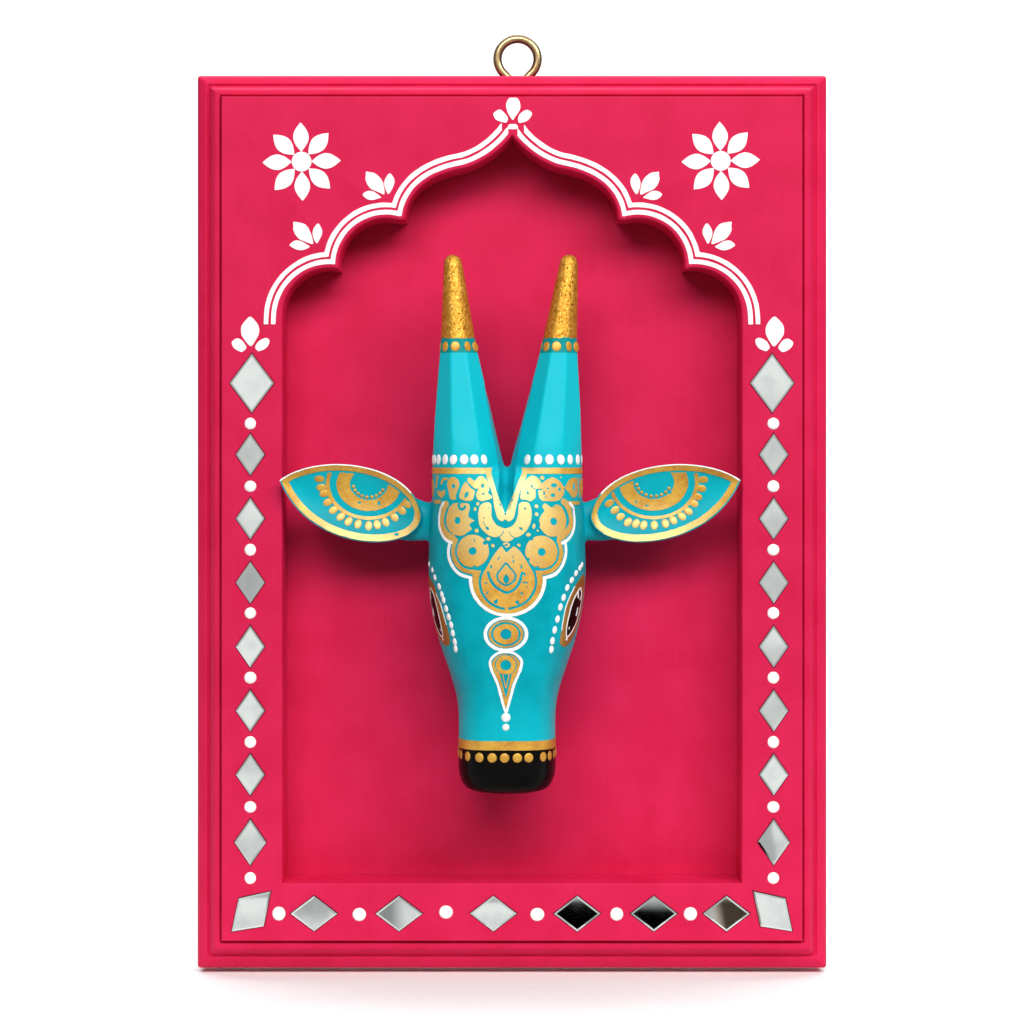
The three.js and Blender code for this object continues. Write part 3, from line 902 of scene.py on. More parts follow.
def thin_out(loop, longest):
    """Keeps only the points that the loop's shape needs, and none further apart than the longest."""
    ring = np.vstack([loop, loop[:1]])
    far = int(np.argmax(((loop - loop[0]) ** 2).sum(1)))
    needed = {0, far}
    spans = [(0, far), (far, len(loop))]
    while spans:
        a, b = spans.pop()
        if b - a < 2:
            continue
        along = ring[b] - ring[a]
        away = ring[a + 1:b] - ring[a]
        off = np.abs(along[0] * away[:, 1] - along[1] * away[:, 0]) / max(math.hypot(*along), 1e-9)
        most = int(np.argmax(off))
        if off[most] > THIN_OUT:
            needed.add(a + 1 + most)
            spans += [(a, a + 1 + most), (a + 1 + most, b)]
    kept = ring[sorted(needed)]
    out = []
    for a, b in zip(kept, np.roll(kept, -1, 0)):
        parts = max(1, math.ceil(math.dist(a, b) / longest))
        out += [a + (b - a) * k / parts for k in range(parts)]
    return out


def fill(stencil, spacing):
    """Flat points and triangles that fill the paint, with points inside no further apart than spacing."""
    points, edges = [], []
    for loop in stencil.outlines():
        ring = thin_out(loop, spacing)
        x, z = np.array(ring).T
        if len(ring) < 3 or abs((x * np.roll(z, -1) - z * np.roll(x, -1)).sum()) / 2 < SMALLEST:
            continue
        edges += [(len(points) + k, len(points) + (k + 1) % len(ring)) for k in range(len(ring))]
        points += ring
    step = max(1, round(spacing / stencil.grid))
    rows, columns = np.nonzero(stencil.depth[::step, ::step] < -EDGE_CLEAR * spacing)
    points += list(stencil.low + stencil.grid * step * np.stack([columns, rows], 1))
    flat = [Vector(p) for p in points]
    corners, _, faces, *_ = geometry.delaunay_2d_cdt(flat, edges, [], 0, 1e-5, False)
    corners, faces = np.array([tuple(p) for p in corners]), np.array(faces)
    a, b, c = corners[faces].transpose(1, 0, 2)
    turned = (b - a)[:, 0] * (c - a)[:, 1] - (b - a)[:, 1] * (c - a)[:, 0] < 0
    faces[turned] = faces[turned][:, ::-1]
    return corners, [tuple(f) for f in faces[stencil.at((a + b + c) / 3) < 0]]


def paint_skin(name, stencil, lay, spacing=1.0, lift=0.0):
    """A layer of paint from a stencil: lay tells where each flat point is and which way it faces."""
    flat, faces = fill(stencil, spacing)
    where, out = lay(flat)
    points = np.vstack([where + out * (PAINT_T + lift), where - out * PAINT_SUNK])
    count = len(flat)
    sides = {(f[k], f[(k + 1) % len(f)]) for f in faces for k in range(len(f))}
    skin = list(faces) + [tuple(i + count for i in reversed(f)) for f in faces]
    skin += [(b, a, a + count, b + count) for a, b in sides if (b, a) not in sides]
    return crisp(new_object(name, points, skin, turn_out=False), CRISP_DEG["paint"])


def on_field(flat):
    """The frame's flat face."""
    where = np.stack([flat[:, 0], np.zeros(len(flat)), flat[:, 1]], 1)
    return where, np.tile((0.0, -1.0, 0.0), (len(flat), 1))


print("paint stands", PAINT_T, "mm proud")

# %% [markdown]
# ## White paint on the frame
#
# Two white lines run round the arch. They keep their distance from its edge, so they are cut straight
# from the distance to the arch: mitred at the cusps, and ending above the large mirrors. Leaves stand
# in threes on the cusps, over the large mirrors and on the point of the arch.

# %% White paint
WHITE = colour(255, 254, 252)
WHITE_THIN = colour(251, 243, 244)


def white_paint():
    mix = Finish("white_paint")
    brushed = mix.noise(1.2, detail=3)
    mix.set(Base_Color=mix.mix(mix.ramp(brushed, 0.25, 0.5), WHITE_THIN, WHITE))
    mix.set(Roughness=mix.ramp(brushed, 0.3, 0.7, 0.38, 0.5), Normal=mix.bump(brushed, 0.03))
    return mix.material


white = white_paint()
print("mixed", white.name)

# %% Lines round the arch
LINE_W = 1.6
LINES_APART = 2.45
# The inner line's distance from the arch, high up and low down
LINE_AWAY = 2.2
LINE_AWAY_LOW = 3.15
WIDER_BELOW_Z = 240
WIDER_OVER = 20
LINES_END_Z = 219.6
# Both lines stop short of the middle, under the leaves on the apex
LINES_MIDDLE_X = 0.3
INNER_LINE_STARTS = 1.6
OUTER_LINE_STARTS = 3.8


def arch_lines():
    """Both white lines as a shape, from the distance to the arch."""
    from_arch = patch(arch)[2]

    def distance(u, v):
        away = from_arch(u, v)
        low_down = np.clip((WIDER_BELOW_Z - v) / WIDER_OVER, 0, 1)
        inner = LINE_AWAY + (LINE_AWAY_LOW - LINE_AWAY) * low_down
        off_middle = np.abs(u - LINES_MIDDLE_X)
        first = np.abs(away - inner) - LINE_W / 2
        first = np.maximum(first, INNER_LINE_STARTS - off_middle)
        second = np.abs(away - inner - LINES_APART) - LINE_W / 2
        second = np.maximum(second, OUTER_LINE_STARTS - off_middle)
        return np.maximum(np.minimum(first, second), LINES_END_Z - v)
    return np.array((-86, 218)), np.array((86, 292)), distance


def pixels(*points):
    """Points read off the photograph, as layout millimetres on the frame's face."""
    x, z = np.array(points, float).T
    return np.stack([(x - PICTURE / 2) * MM_PER_PIXEL, CAMERA_AT[2] - (z - AXIS_PIXEL) * MM_PER_PIXEL], 1)


frame_white = Stencil(-98, 205, 98, 302, grid=0.2)
frame_white.add(arch_lines())
print("lines:", frame_white.painted())

# %% Leaves
# Pixels of the photograph, as all the points in this cell
MIRROR_LINE = 512.4
OVER_MIRROR = [
    [(250.2, 316.6), (255.4, 320.9), (258.7, 326.5), (259.3, 331.5), (258.1, 336.2), (254.5, 342.3),
     (252, 346), (249.8, 346), (246.8, 342.9), (241.9, 335.9), (240.9, 331), (241.6, 326), (245, 320.9)],
    [(236.7, 338.5), (232.1, 341.7), (232.3, 345.1), (235.2, 349), (240.4, 351.8), (243.1, 351.6),
     (246.4, 347.8), (244.4, 343.2), (241.3, 339.9)],
    [(265.5, 337.9), (268.9, 339.2), (269.5, 342), (267.9, 346), (264.3, 349.3), (259.1, 351.2),
     (257.5, 350.6), (255.1, 347.8), (256.3, 344.1), (259.7, 340.2)],
]
LOWER_SPRIG = [
    [(293.3, 222), (297.9, 222.3), (304.5, 223.9), (308.5, 227.9), (310.8, 232.8), (312.2, 238),
     (313.1, 244), (306.2, 242), (299.4, 239.1), (295.3, 234.5), (293.2, 229.4), (293.5, 225.9)],
    [(317.9, 223.3), (320.8, 226.5), (322.3, 231.1), (321.5, 235.7), (319, 240.5), (316.9, 243.6),
     (314.8, 240.9), (313.1, 236.8), (312.6, 231.9), (314, 227.6)],
    [(289.7, 244.9), (293.6, 241.1), (297.9, 240.5), (302.2, 241.7), (306.3, 244.2), (309.7, 246.6),
     (306.2, 248.9), (301.1, 250.3), (295.9, 249.4), (292.2, 247.4)],
]
UPPER_SPRIG = [
    [(366.1, 171.9), (369.2, 172.2), (373.7, 172.9), (379.3, 176.8), (382.7, 181.8), (383.7, 186),
     (384.4, 194.5), (377.6, 191.9), (370.6, 188.6), (366.7, 183.5), (365.3, 179), (365.8, 175.7)],
    [(389.7, 173.4), (393.4, 177.1), (394.5, 181.8), (392.5, 188), (388.2, 194.2), (384.9, 187.4),
     (384.3, 181.8), (386.3, 176.8)],
    [(362.6, 194.5), (365.9, 191.7), (370.6, 190.8), (375.4, 192.6), (381.6, 197.3), (378.2, 198.7),
     (373.7, 199.9), (368.7, 199.5), (365, 197.5)],
]
ON_APEX = [
    [(509.3, 98.2), (513, 97.7), (517, 98.2), (519.6, 102), (520.3, 106.3), (519, 111), (515.6, 116),
     (512.8, 120), (510, 116.6), (507.4, 112), (506.1, 106.8), (506.7, 102)],
    [(506.3, 122.4), (503.9, 122.3), (499.5, 121.4), (496, 119.8), (494.2, 117), (493.5, 113.8),
     (495.5, 111.5), (499.3, 109.6), (502.3, 110.8), (505.5, 114.2), (507.9, 117.7), (507.6, 119.9)],
    [(518.4, 117.2), (521.2, 112.9), (526.2, 109.8), (530, 110.9), (532.1, 113.4), (530.9, 116.6),
     (528.2, 119.9), (523.6, 122.1), (519.5, 122.7), (518.3, 120.9)],
    [(509.3, 124.4), (512.8, 124.2), (516.2, 124.3), (517.9, 127.2), (516.5, 129), (512.8, 129.3),
     (509.2, 129), (507.7, 127.5)],
]
for leaf in OVER_MIRROR + LOWER_SPRIG + UPPER_SPRIG:
    frame_white.add(smooth_patch(pixels(*leaf)))
    frame_white.add(smooth_patch(pixels(*((2 * MIRROR_LINE - x, z) for x, z in leaf))))
for leaf in ON_APEX:
    frame_white.add(smooth_patch(pixels(*leaf)))
frame_white.waver(2.5, 0.035, seed=3)
print("lines and leaves:", frame_white.painted())
keep(paint_skin("frame_white_lines", frame_white, on_field, spacing=12.0), white, "pink_paint")

# %% [markdown]
# ## Dots, beads and petals by Geometry Nodes
#
# A dot of thick paint is a low dome, like a lens half sunk in the surface. One small node tree makes all
# of them, here and on the head: it puts a flattened sphere on every point of a mesh, turned to the
# point's own direction and scaled to its own size, which ride along as attributes. A second tree turns
# one petal into a flower, and sets a flower at each of two places.

# %% Node tree tools
class Tree:
    """A Geometry Nodes tree with named inputs, built node by node."""

    def __init__(self, name, **inputs):
        self.tree = bpy.data.node_groups.new(name, "GeometryNodeTree")
        self.sockets = {}
        for key, kind in {"Geometry": "Geometry", **inputs, "Paint": "Material"}.items():
            socket = self.tree.interface.new_socket(
                key.replace("_", " "), in_out="INPUT", socket_type="NodeSocket" + kind)
            self.sockets[key] = socket.identifier
        self.tree.interface.new_socket("Geometry", in_out="OUTPUT", socket_type="NodeSocketGeometry")
        self.given = self.tree.nodes.new("NodeGroupInput")

    def take(self, name):
        return self.given.outputs[name.replace("_", " ")]

    def add(self, kind, inputs=(), output=0, **settings):
        """Adds a node and gives one of its outputs."""
        return add_node(self.tree, kind, inputs, **settings).outputs[output]

    def end(self, geometry_out):
        """Realizes the instances, sets the paint and closes the tree."""
        real = self.add("GeometryNodeRealizeInstances", {"Geometry": geometry_out})
        painted = self.add("GeometryNodeSetMaterial", {"Geometry": real, "Material": self.take("Paint")})
        last = self.tree.nodes.new("NodeGroupOutput")
        self.tree.links.new(painted, last.inputs[0])
        return self

    def run(self, made, **values):
        """Runs the tree on an object with these values and keeps the plain mesh."""
        step = made.modifiers.new("nodes", "NODES")
        step.node_group = self.tree
        for key, value in values.items():
            step[self.sockets[key]] = value
        return bake_modifiers(made)


def bead_tree():
    tree = Tree("beads_on_points", Segments="Int", Rings="Int")
    dome = tree.add("GeometryNodeMeshUVSphere", {
        "Segments": tree.take("Segments"), "Rings": tree.take("Rings"), "Radius": 1.0})
    dome = tree.add("GeometryNodeSetShadeSmooth", {0: dome})
    facing = tree.add("GeometryNodeInputNamedAttribute", {"Name": "facing"}, data_type="FLOAT_VECTOR")
    along = tree.add("GeometryNodeInputNamedAttribute", {"Name": "along"}, data_type="FLOAT_VECTOR")
    size = tree.add("GeometryNodeInputNamedAttribute", {"Name": "size"}, data_type="FLOAT_VECTOR")
    turned = tree.add("FunctionNodeAlignRotationToVector", {"Vector": facing}, axis="Z")
    turned = tree.add("FunctionNodeAlignRotationToVector", {"Rotation": turned, "Vector": along},
                      axis="X", pivot_axis="Z")
    return tree.end(tree.add("GeometryNodeInstanceOnPoints", {
        "Points": tree.take("Geometry"), "Instance": dome, "Rotation": turned, "Scale": size}))


beads_on_points = bead_tree()
print(beads_on_points.tree.name, "has", len(beads_on_points.tree.nodes), "nodes")

# %% Beads on any points
DOT_SEGMENTS = 16
DOT_RINGS = 6


def beads(name, where, facing, sizes, along, paint):
    """Domes of paint at layout points. A size is half length, half width and height."""
    made = new_object(name, where, [])
    for key, values in (("facing", facing), ("along", along), ("size", np.asarray(sizes) * MM)):
        rows = np.broadcast_to(np.asarray(values, float), (len(where), 3))
        made.data.attributes.new(key, "FLOAT_VECTOR", "POINT").data.foreach_set("vector", rows.ravel())
    return beads_on_points.run(made, Segments=DOT_SEGMENTS, Rings=DOT_RINGS, Paint=paint)


print("a dot has", 2 * DOT_SEGMENTS * (DOT_RINGS - 1), "triangles")

# %% White dots
DOT_HEIGHT = 0.35
DOT_R = 2.05
BOTTOM_DOT_R = 2.35
DOT_UNEVEN = 0.04
# Pixels of the photograph
DOT_ROWS = (423.6, 486.3, 549.8, 613.1, 677.7, 742.1, 807.0, 878.1)
DOT_COLUMNS = (250.3, 773.3)
BOTTOM_DOTS = [(278.9, 913.6), (359.3, 914.5), (446, 912.1), (537.3, 914.5), (616.7, 914.1), (690.4, 913.9)]
side_dots = [(x, z) for x in DOT_COLUMNS for z in DOT_ROWS]
dots = pixels(*side_dots, *BOTTOM_DOTS)
rng = np.random.default_rng(11)
radii = np.array([DOT_R] * len(side_dots) + [BOTTOM_DOT_R] * len(BOTTOM_DOTS))[:, None]
radii = radii * rng.uniform(1 - DOT_UNEVEN, 1 + DOT_UNEVEN, (len(dots), 2))
dot_sizes = np.hstack([radii, np.full((len(dots), 1), DOT_HEIGHT)])
where, facing = on_field(dots)
frame_dots = beads("frame_white_dots", where, facing, dot_sizes, (1, 0, 0), white)
keep(frame_dots, white, "pink_paint")

# %% Flowers
PETALS = 8
PETAL_FROM = 3.35
PETAL_TO = 13.3
PETAL_W = 5.3
# Powers that shape a petal's sides: how long they stay wide, and how sharp they end
PETAL_FULLNESS = 1.9
PETAL_POINT = 1.05
PETAL_STEPS = 12
FLOWER_DISC_R = 3.35
DISC_SIDES = 32
FLOWER_TURN = 1.6
FLOWER_AT = pixels((301.6, 161.6), (720.7, 160.9))


def petal_outline():
    """A pointed petal that stands up from the flower's middle."""
    t = np.linspace(0, 1, PETAL_STEPS + 1)
    half = PETAL_W / 2 * (1 - np.abs(2 * t - 1) ** PETAL_FULLNESS) ** PETAL_POINT
    z = PETAL_FROM + (PETAL_TO - PETAL_FROM) * t
    right = np.stack([half, z], 1)
    return np.vstack([right, (right * (-1, 1))[-2:0:-1]])


def flower_tree():
    tree = Tree("petals_round_a_circle", Petals="Int", Turn="Float", Disc_Radius="Float", Thickness="Float",
                Left="Vector", Right="Vector")
    index = tree.add("GeometryNodeInputIndex")
    step = tree.add("ShaderNodeMath", {0: 2 * math.pi, 1: tree.take("Petals")}, operation="DIVIDE")
    angle = tree.add("ShaderNodeMath", {0: index, 1: step, 2: tree.take("Turn")}, operation="MULTIPLY_ADD")
    turned = tree.add("FunctionNodeEulerToRotation", {0: tree.add("ShaderNodeCombineXYZ", {"Y": angle})})
    middle = tree.add("GeometryNodePoints", {"Count": tree.take("Petals")})
    petals = tree.add("GeometryNodeInstanceOnPoints", {
        "Points": middle, "Instance": tree.take("Geometry"), "Rotation": turned})
    plate = tree.add("GeometryNodeMeshCylinder", {
        "Vertices": DISC_SIDES, "Radius": tree.take("Disc_Radius"), "Depth": tree.take("Thickness")})
    plate = tree.add("GeometryNodeTransform", {"Geometry": plate, "Rotation": (math.pi / 2, 0, 0)})
    join = tree.tree.nodes.new("GeometryNodeJoinGeometry")
    for part in (plate, petals):
        tree.tree.links.new(part, join.inputs[0])
    place_at = tree.add("ShaderNodeMix", {"Factor": index, 4: tree.take("Left"), 5: tree.take("Right")},
                        output=1, data_type="VECTOR", clamp_factor=False)
    both = tree.add("GeometryNodePoints", {"Count": 2, "Position": place_at})
    return tree.end(tree.add("GeometryNodeInstanceOnPoints", {"Points": both, "Instance": join.outputs[0]}))


petal_faces = [standing(petal_outline(), -PAINT_T), standing(petal_outline(), PAINT_SUNK)]
petal = new_object("frame_white_flowers", *loft(petal_faces), smooth=False)
# Its tree takes the petal from the row's origin
petal.data.transform(Matrix.Translation(Vector(NAIL) * MM))
left, right = (Vector(place((x, 0, z))) for x, z in FLOWER_AT)
flowers = flower_tree().run(
    petal, Petals=PETALS, Turn=-math.radians(FLOWER_TURN), Disc_Radius=FLOWER_DISC_R * MM,
    Thickness=2 * PAINT_T * MM, Left=left, Right=right, Paint=white)
keep(flowers, white, "pink_paint")

# %% [markdown]
# ## The cow's head: main form
#
# Head, muzzle, horns and ears are one carving. Its body is a loft of rounded-square sections, and each
# horn is eight-sided, as a knife leaves it, and rounder under the gold leaf. Tables give the sections,
# read with many steps. The parts are then fused by a voxel remesh: it turns overlapping skins into one
# even skin of small squares, which rounds the joints as sandpaper does.

# %% Reading a table of sections
def between(rows, key, column):
    """A column's value at a key between the rows, eased so that the rows join smoothly."""
    rows = np.asarray(rows, float)
    keys = rows[:, 0]
    values = rows[:, column]
    before = np.maximum(np.arange(len(rows)) - 1, 0)
    after = np.minimum(np.arange(len(rows)) + 1, len(rows) - 1)
    slope = (values[after] - values[before]) / (keys[after] - keys[before])
    i = int(np.clip(np.searchsorted(keys, key, side="right") - 1, 0, len(rows) - 2))
    span = keys[i + 1] - keys[i]
    t = min(max((key - keys[i]) / span, 0), 1)
    ease = t * t * (3 - 2 * t)
    bend = t * (1 - t) ** 2 * slope[i] - t * t * (1 - t) * slope[i + 1]
    return values[i] * (1 - ease) + values[i + 1] * ease + span * bend


def signed_power(value, power):
    return math.copysign(abs(value) ** power, value)


print("half way between 0 and 2:", between([(0, 0), (1, 2)], 0.5, 1))

# %% Head body
BODY_STEPS = 150
BODY_POINTS = 160
CHIN_CROWDING = 1.35
BACK_SQUARENESS = 6
# Height, half width, reach in front, reach behind, depth of the widest place, squareness in front
HEAD_SECTIONS = [
    (63.1, 9.5, 21, 2, -8, 2.6), (64.1, 13.2, 25, 4.5, -8, 2.7), (66.8, 15.4, 27.9, 6.5, -7.5, 2.8),
    (71.5, 16.3, 28.9, 8, -7, 2.9), (86, 16.2, 29, 11, -5, 2.9), (94.5, 17, 28.8, 14, -4, 2.8),
    (104.3, 20, 28.6, 18.5, -2, 2.8), (113, 23, 28.4, 20, 0, 2.7), (124, 25.5, 28, 20, 1, 2.6),
    (136, 26.6, 27.4, 20, 2, 2.6), (150, 26.2, 26.5, 20, 2, 2.6), (160, 25.5, 25.2, 20, 2, 2.5),
    (166.5, 24.8, 23.4, 18, 1, 2.4), (170, 23.6, 20.8, 13, 0, 2.4), (171.3, 19, 15, 6, -2, 2.3)]


def body_ring(z):
    half_w, front, back, widest, square = (between(HEAD_SECTIONS, z, c) for c in range(1, 6))
    ring = []
    for k in range(BODY_POINTS):
        angle = 2 * math.pi * k / BODY_POINTS
        in_front = math.sin(angle) < 0
        power = 2 / (square if in_front else BACK_SQUARENESS)
        depth = front + widest if in_front else back - widest
        x = HEAD_X + half_w * signed_power(math.cos(angle), power)
        ring.append((x, widest + depth * signed_power(math.sin(angle), power), z))
    return ring


def heights(rows, steps, crowding):
    """Heights from the first row to the last, closer together at the start."""
    low, high = rows[0][0], rows[-1][0]
    return [low + (high - low) * (k / steps) ** crowding for k in range(steps + 1)]


body_skin = loft([body_ring(z) for z in heights(HEAD_SECTIONS, BODY_STEPS, CHIN_CROWDING)])
print("body skin", len(body_skin[0]), "points")

# %% Horns
HORN_STEPS = 120
HORN_POINTS = 96
TIP_CROWDING = 1.3
# Columns with the middle across of the left and of the right horn
HORN_LEFT_X = 5
HORN_RIGHT_X = 6
# Height, half width, half depth, middle's depth, flatness of facets, middle across: left, right
HORN_SECTIONS = [
    (148, 10.5, 14.5, -4.5, 0, -13, 10), (158, 13, 17.8, -5.2, 0, -13.5, 10.4),
    (173.7, 11.8, 16, -5.6, 0.4, -14.9, 11.7), (188, 9.6, 12.6, -5.9, 1, -16.2, 13.4),
    (210.4, 6.2, 7.8, -6.4, 1, -17.9, 15.7), (215, 5.7, 7.1, -6.5, 0.45, -18.2, 16.2),
    (238, 3.3, 3.6, -7, 0.15, -19.7, 18.9), (241.4, 2.6, 2.7, -7, 0, -19.9, 19.1),
    (242.6, 1.2, 1.3, -7, 0, -19.9, 19.2)]


def octagon_reach(angle):
    """How far an eight-sided outline stands out of the circle inside it."""
    eighth = math.pi / 4
    return 1 / math.cos(angle - eighth * round(angle / eighth))


def horn_ring(z, column):
    rx, ry, y, flat, x = (between(HORN_SECTIONS, z, c) for c in (1, 2, 3, 4, column))
    ring = []
    for k in range(HORN_POINTS):
        angle = 2 * math.pi * k / HORN_POINTS
        reach = 1 + flat * (octagon_reach(angle) - 1)
        ring.append((x + rx * reach * math.cos(angle), y + ry * reach * math.sin(angle), z))
    return ring


def horn(column):
    """One horn, its rings closer together at the tip."""
    low, high = HORN_SECTIONS[0][0], HORN_SECTIONS[-1][0]
    shares = [1 - (1 - k / HORN_STEPS) ** TIP_CROWDING for k in range(HORN_STEPS + 1)]
    return loft([horn_ring(low + (high - low) * share, column) for share in shares])


print("a horn is", round(HORN_SECTIONS[-1][0] - HORN_SECTIONS[0][0], 1), "mm long with its root")

# %% Ear stems
EAR_MIDDLE_X = -2.0
# Distance out, height, half height, half thickness, depth
STEM_SECTIONS = [
    (20, 152.7, 7, 4.6, 0.5), (26, 152.8, 6.5, 3.8, 0.5), (31, 153.6, 7.4, 3, 0.7),
    (36, 155.3, 8.6, 2.3, 0.6), (42, 156.8, 6, 1.2, -0.2)]
STEM_STEPS = 40
STEM_POINTS = 48


def ear_stem(sign):
    rings = []
    for out in np.linspace(STEM_SECTIONS[0][0], STEM_SECTIONS[-1][0], STEM_STEPS):
        z, tall, thick, y = (between(STEM_SECTIONS, out, c) for c in (1, 2, 3, 4))
        angles = np.linspace(0, 2 * math.pi, STEM_POINTS, endpoint=False)
        rings.append([(EAR_MIDDLE_X + sign * out, y + thick * math.cos(a), z + tall * math.sin(a))
                      for a in angles])
    return loft(rings)


print("an ear stem is", STEM_SECTIONS[-1][0] - STEM_SECTIONS[0][0], "mm long")

# %% [markdown]
# ## Fusing, grooving and smoothing the head
#
# The groove between the horns is cut before the remesh. Its bottom line climbs towards the back, and
# its sides open like a rounded V: half the width grows with a power of the height above that line.
# After the remesh, a few rounds of Taubin smoothing take the voxel steps out. Each round moves every
# point towards its neighbours' middle and then a little back, so the form doesn't shrink.

# %% Groove
GROOVE_X = -2.1
GROOVE_FOOT = (-25.5, 156.4)
GROOVE_CLIMB = 0.742
GROOVE_LEAN = 0.293
GROOVE_WIDTH = 0.97
GROOVE_POWER = 0.59
GROOVE_TOP = 200.0
GROOVE_EASE = 0.06
GROOVE_HEIGHTS = 30
# Depths from in front of the head to behind it
GROOVE_DEPTHS = np.linspace(-40, 30, 60)


def groove_side(rise, z, sign, column):
    """How far the groove reaches to one side at a height. At its top it runs out on that horn's side."""
    middle, half_w = (between(HORN_SECTIONS, z, c) for c in (column, 1))
    gap = max(0, sign * (middle - GROOVE_X) - half_w)
    most = gap + (GROOVE_TOP - z) * GROOVE_EASE
    return min(most, max(GROOVE_WIDTH * rise ** GROOVE_POWER, GROOVE_LEAN * rise))


def groove_ring(y):
    """The groove's section at one depth: a rounded V, closed off straight above."""
    bottom = GROOVE_FOOT[1] + (y - GROOVE_FOOT[0]) * GROOVE_CLIMB
    rises = (GROOVE_TOP - bottom) * np.linspace(0, 1, GROOVE_HEIGHTS) ** 2
    right, left = ([(GROOVE_X + sign * groove_side(rise, bottom + rise, sign, column), y, bottom + rise)
                    for rise in rises] for sign, column in ((1, HORN_RIGHT_X), (-1, HORN_LEFT_X)))
    return right + left[:0:-1]


groove_skin = loft([groove_ring(y) for y in GROOVE_DEPTHS])
print("the groove's cutter has", len(groove_skin[0]), "points")

# %% Fuse the parts of the head
VOXEL = 0.63
SMOOTH_ROUNDS = 5
# What is sawn off behind, where the head lies flat on the panel
SAWN_OFF = [(-60, 40), (60, 40), (60, 260), (-60, 260)]
SAWN_T = 30


def taubin(mesh, rounds, forth=0.5, back=-0.53):
    """Smooths a mesh without shrinking it."""
    co = np.empty(len(mesh.vertices) * 3)
    mesh.vertices.foreach_get("co", co)
    co = co.reshape(-1, 3)
    edges = np.empty(len(mesh.edges) * 2, int)
    mesh.edges.foreach_get("vertices", edges)
    a, b = edges.reshape(-1, 2).T
    degree = np.bincount(a, minlength=len(co)) + np.bincount(b, minlength=len(co))
    for share in (forth, back) * rounds:
        total = np.zeros_like(co)
        for axis in range(3):
            total[:, axis] = np.bincount(a, co[b, axis], len(co)) + np.bincount(b, co[a, axis], len(co))
        co += share * (total / degree[:, None] - co)
    mesh.vertices.foreach_set("co", co.ravel())
    mesh.update()


head = new_object("carved_head", *body_skin)
for number, skin in enumerate([horn(HORN_LEFT_X), horn(HORN_RIGHT_X), ear_stem(-1), ear_stem(1)]):
    carve(head, new_object(f"head_part_{number}", *skin), "UNION")
carve(head, new_object("groove_cutter", *groove_skin))
waste = [standing(SAWN_OFF, y) for y in (BOARD_T, BOARD_T + SAWN_T)]
carve(head, new_object("saw_cut", *loft(waste)))
step = head.modifiers.new("fuse", "REMESH")
step.mode = "VOXEL"
step.voxel_size = VOXEL * MM
bake_modifiers(head)
taubin(head.data, SMOOTH_ROUNDS)
head.data.shade_smooth()
bare_head = BVHTree.FromObject(head, bpy.context.evaluated_depsgraph_get())
print("fused head", len(head.data.polygons), "faces")

# %% [markdown]
# ## The ears
#
# Each ear is a shallow leaf-shaped scoop with a thin rounded lip. Two curves give its upper and lower
# edges, and the section between them dips in front and bellies out behind. The lip is only a
# millimetre thick, which a voxel remesh would break up, so the ears are lofted finely and joined to
# the fused head afterwards.

# %% Ears
EAR_INNER = (28.4, 154.8)
EAR_TIP = (76.5, 166.9)
EAR_UPPER = ((30.6, 172.4), (62.3, 177.3))
EAR_LOWER = ((28.4, 141.6), (66.7, 140.8))
EAR_STRETCH = {-1: 1.0, 1: 1.056}
EAR_Y = -4.5
EAR_LIP = 1.1
EAR_SCOOP = 3.2
EAR_BELLY = 5.0
EAR_FULL_WIDTH = 22.0
EAR_STEPS = 90
EAR_ACROSS = 30
LIP_STEPS = 6
EAR_END_SHARE = 0.004
EAR_EDGE_POINTS = 2000


def ear_edges(sign):
    """Points along an ear's lower and upper edges in the frame's plane, from its root to its tip."""
    def stretched(point):
        return (EAR_INNER[0] + (point[0] - EAR_INNER[0]) * EAR_STRETCH[sign], point[1])
    edges = []
    for handles in (EAR_LOWER, EAR_UPPER):
        line = bezier(*map(stretched, (EAR_INNER, *handles, EAR_TIP)), EAR_EDGE_POINTS)
        line[:, 0] = EAR_MIDDLE_X + sign * line[:, 0]
        edges.append(line)
    return edges


def ear_ring(low, high):
    """One section across an ear, from its lower edge over the scoop to the upper and back."""
    width = np.linalg.norm(high - low)
    full = min(1, width / EAR_FULL_WIDTH)
    lip = min(EAR_LIP / 2, width / 3)
    flat = 1 - 2 * lip / width
    across = np.linspace(-flat, flat, EAR_ACROSS)
    section = [(v, EAR_Y + EAR_SCOOP * full * (1 - (v / flat) ** 2)) for v in across]
    for k in range(1, LIP_STEPS):
        t = math.pi * k / LIP_STEPS
        section.append((flat + (1 - flat) * math.sin(t), EAR_Y + EAR_LIP / 2 * (1 - math.cos(t))))
    section += [(v, EAR_Y + EAR_LIP + EAR_BELLY * full * math.sqrt(max(0, 1 - (v / flat) ** 2)))
                for v in across[::-1]]
    for k in range(1, LIP_STEPS):
        t = math.pi * k / LIP_STEPS
        section.append((-flat - (1 - flat) * math.sin(t), EAR_Y + EAR_LIP / 2 * (1 + math.cos(t))))
    across = [(low + high) / 2 + v * (high - low) / 2 for v, _ in section]
    return [(x, y, z) for (x, z), (_, y) in zip(across, section)]


for sign in (-1, 1):
    lower, upper = ear_edges(sign)
    shares = EAR_END_SHARE + (1 - 2 * EAR_END_SHARE) * np.linspace(0, 1, EAR_STEPS + 1)
    rows = (shares * (len(lower) - 1)).astype(int)
    carve(head, new_object("ear", *loft([ear_ring(lower[i], upper[i]) for i in rows])), "UNION")
crisp(head, CRISP_DEG["head"])
print("head with ears", len(head.data.polygons), "faces")
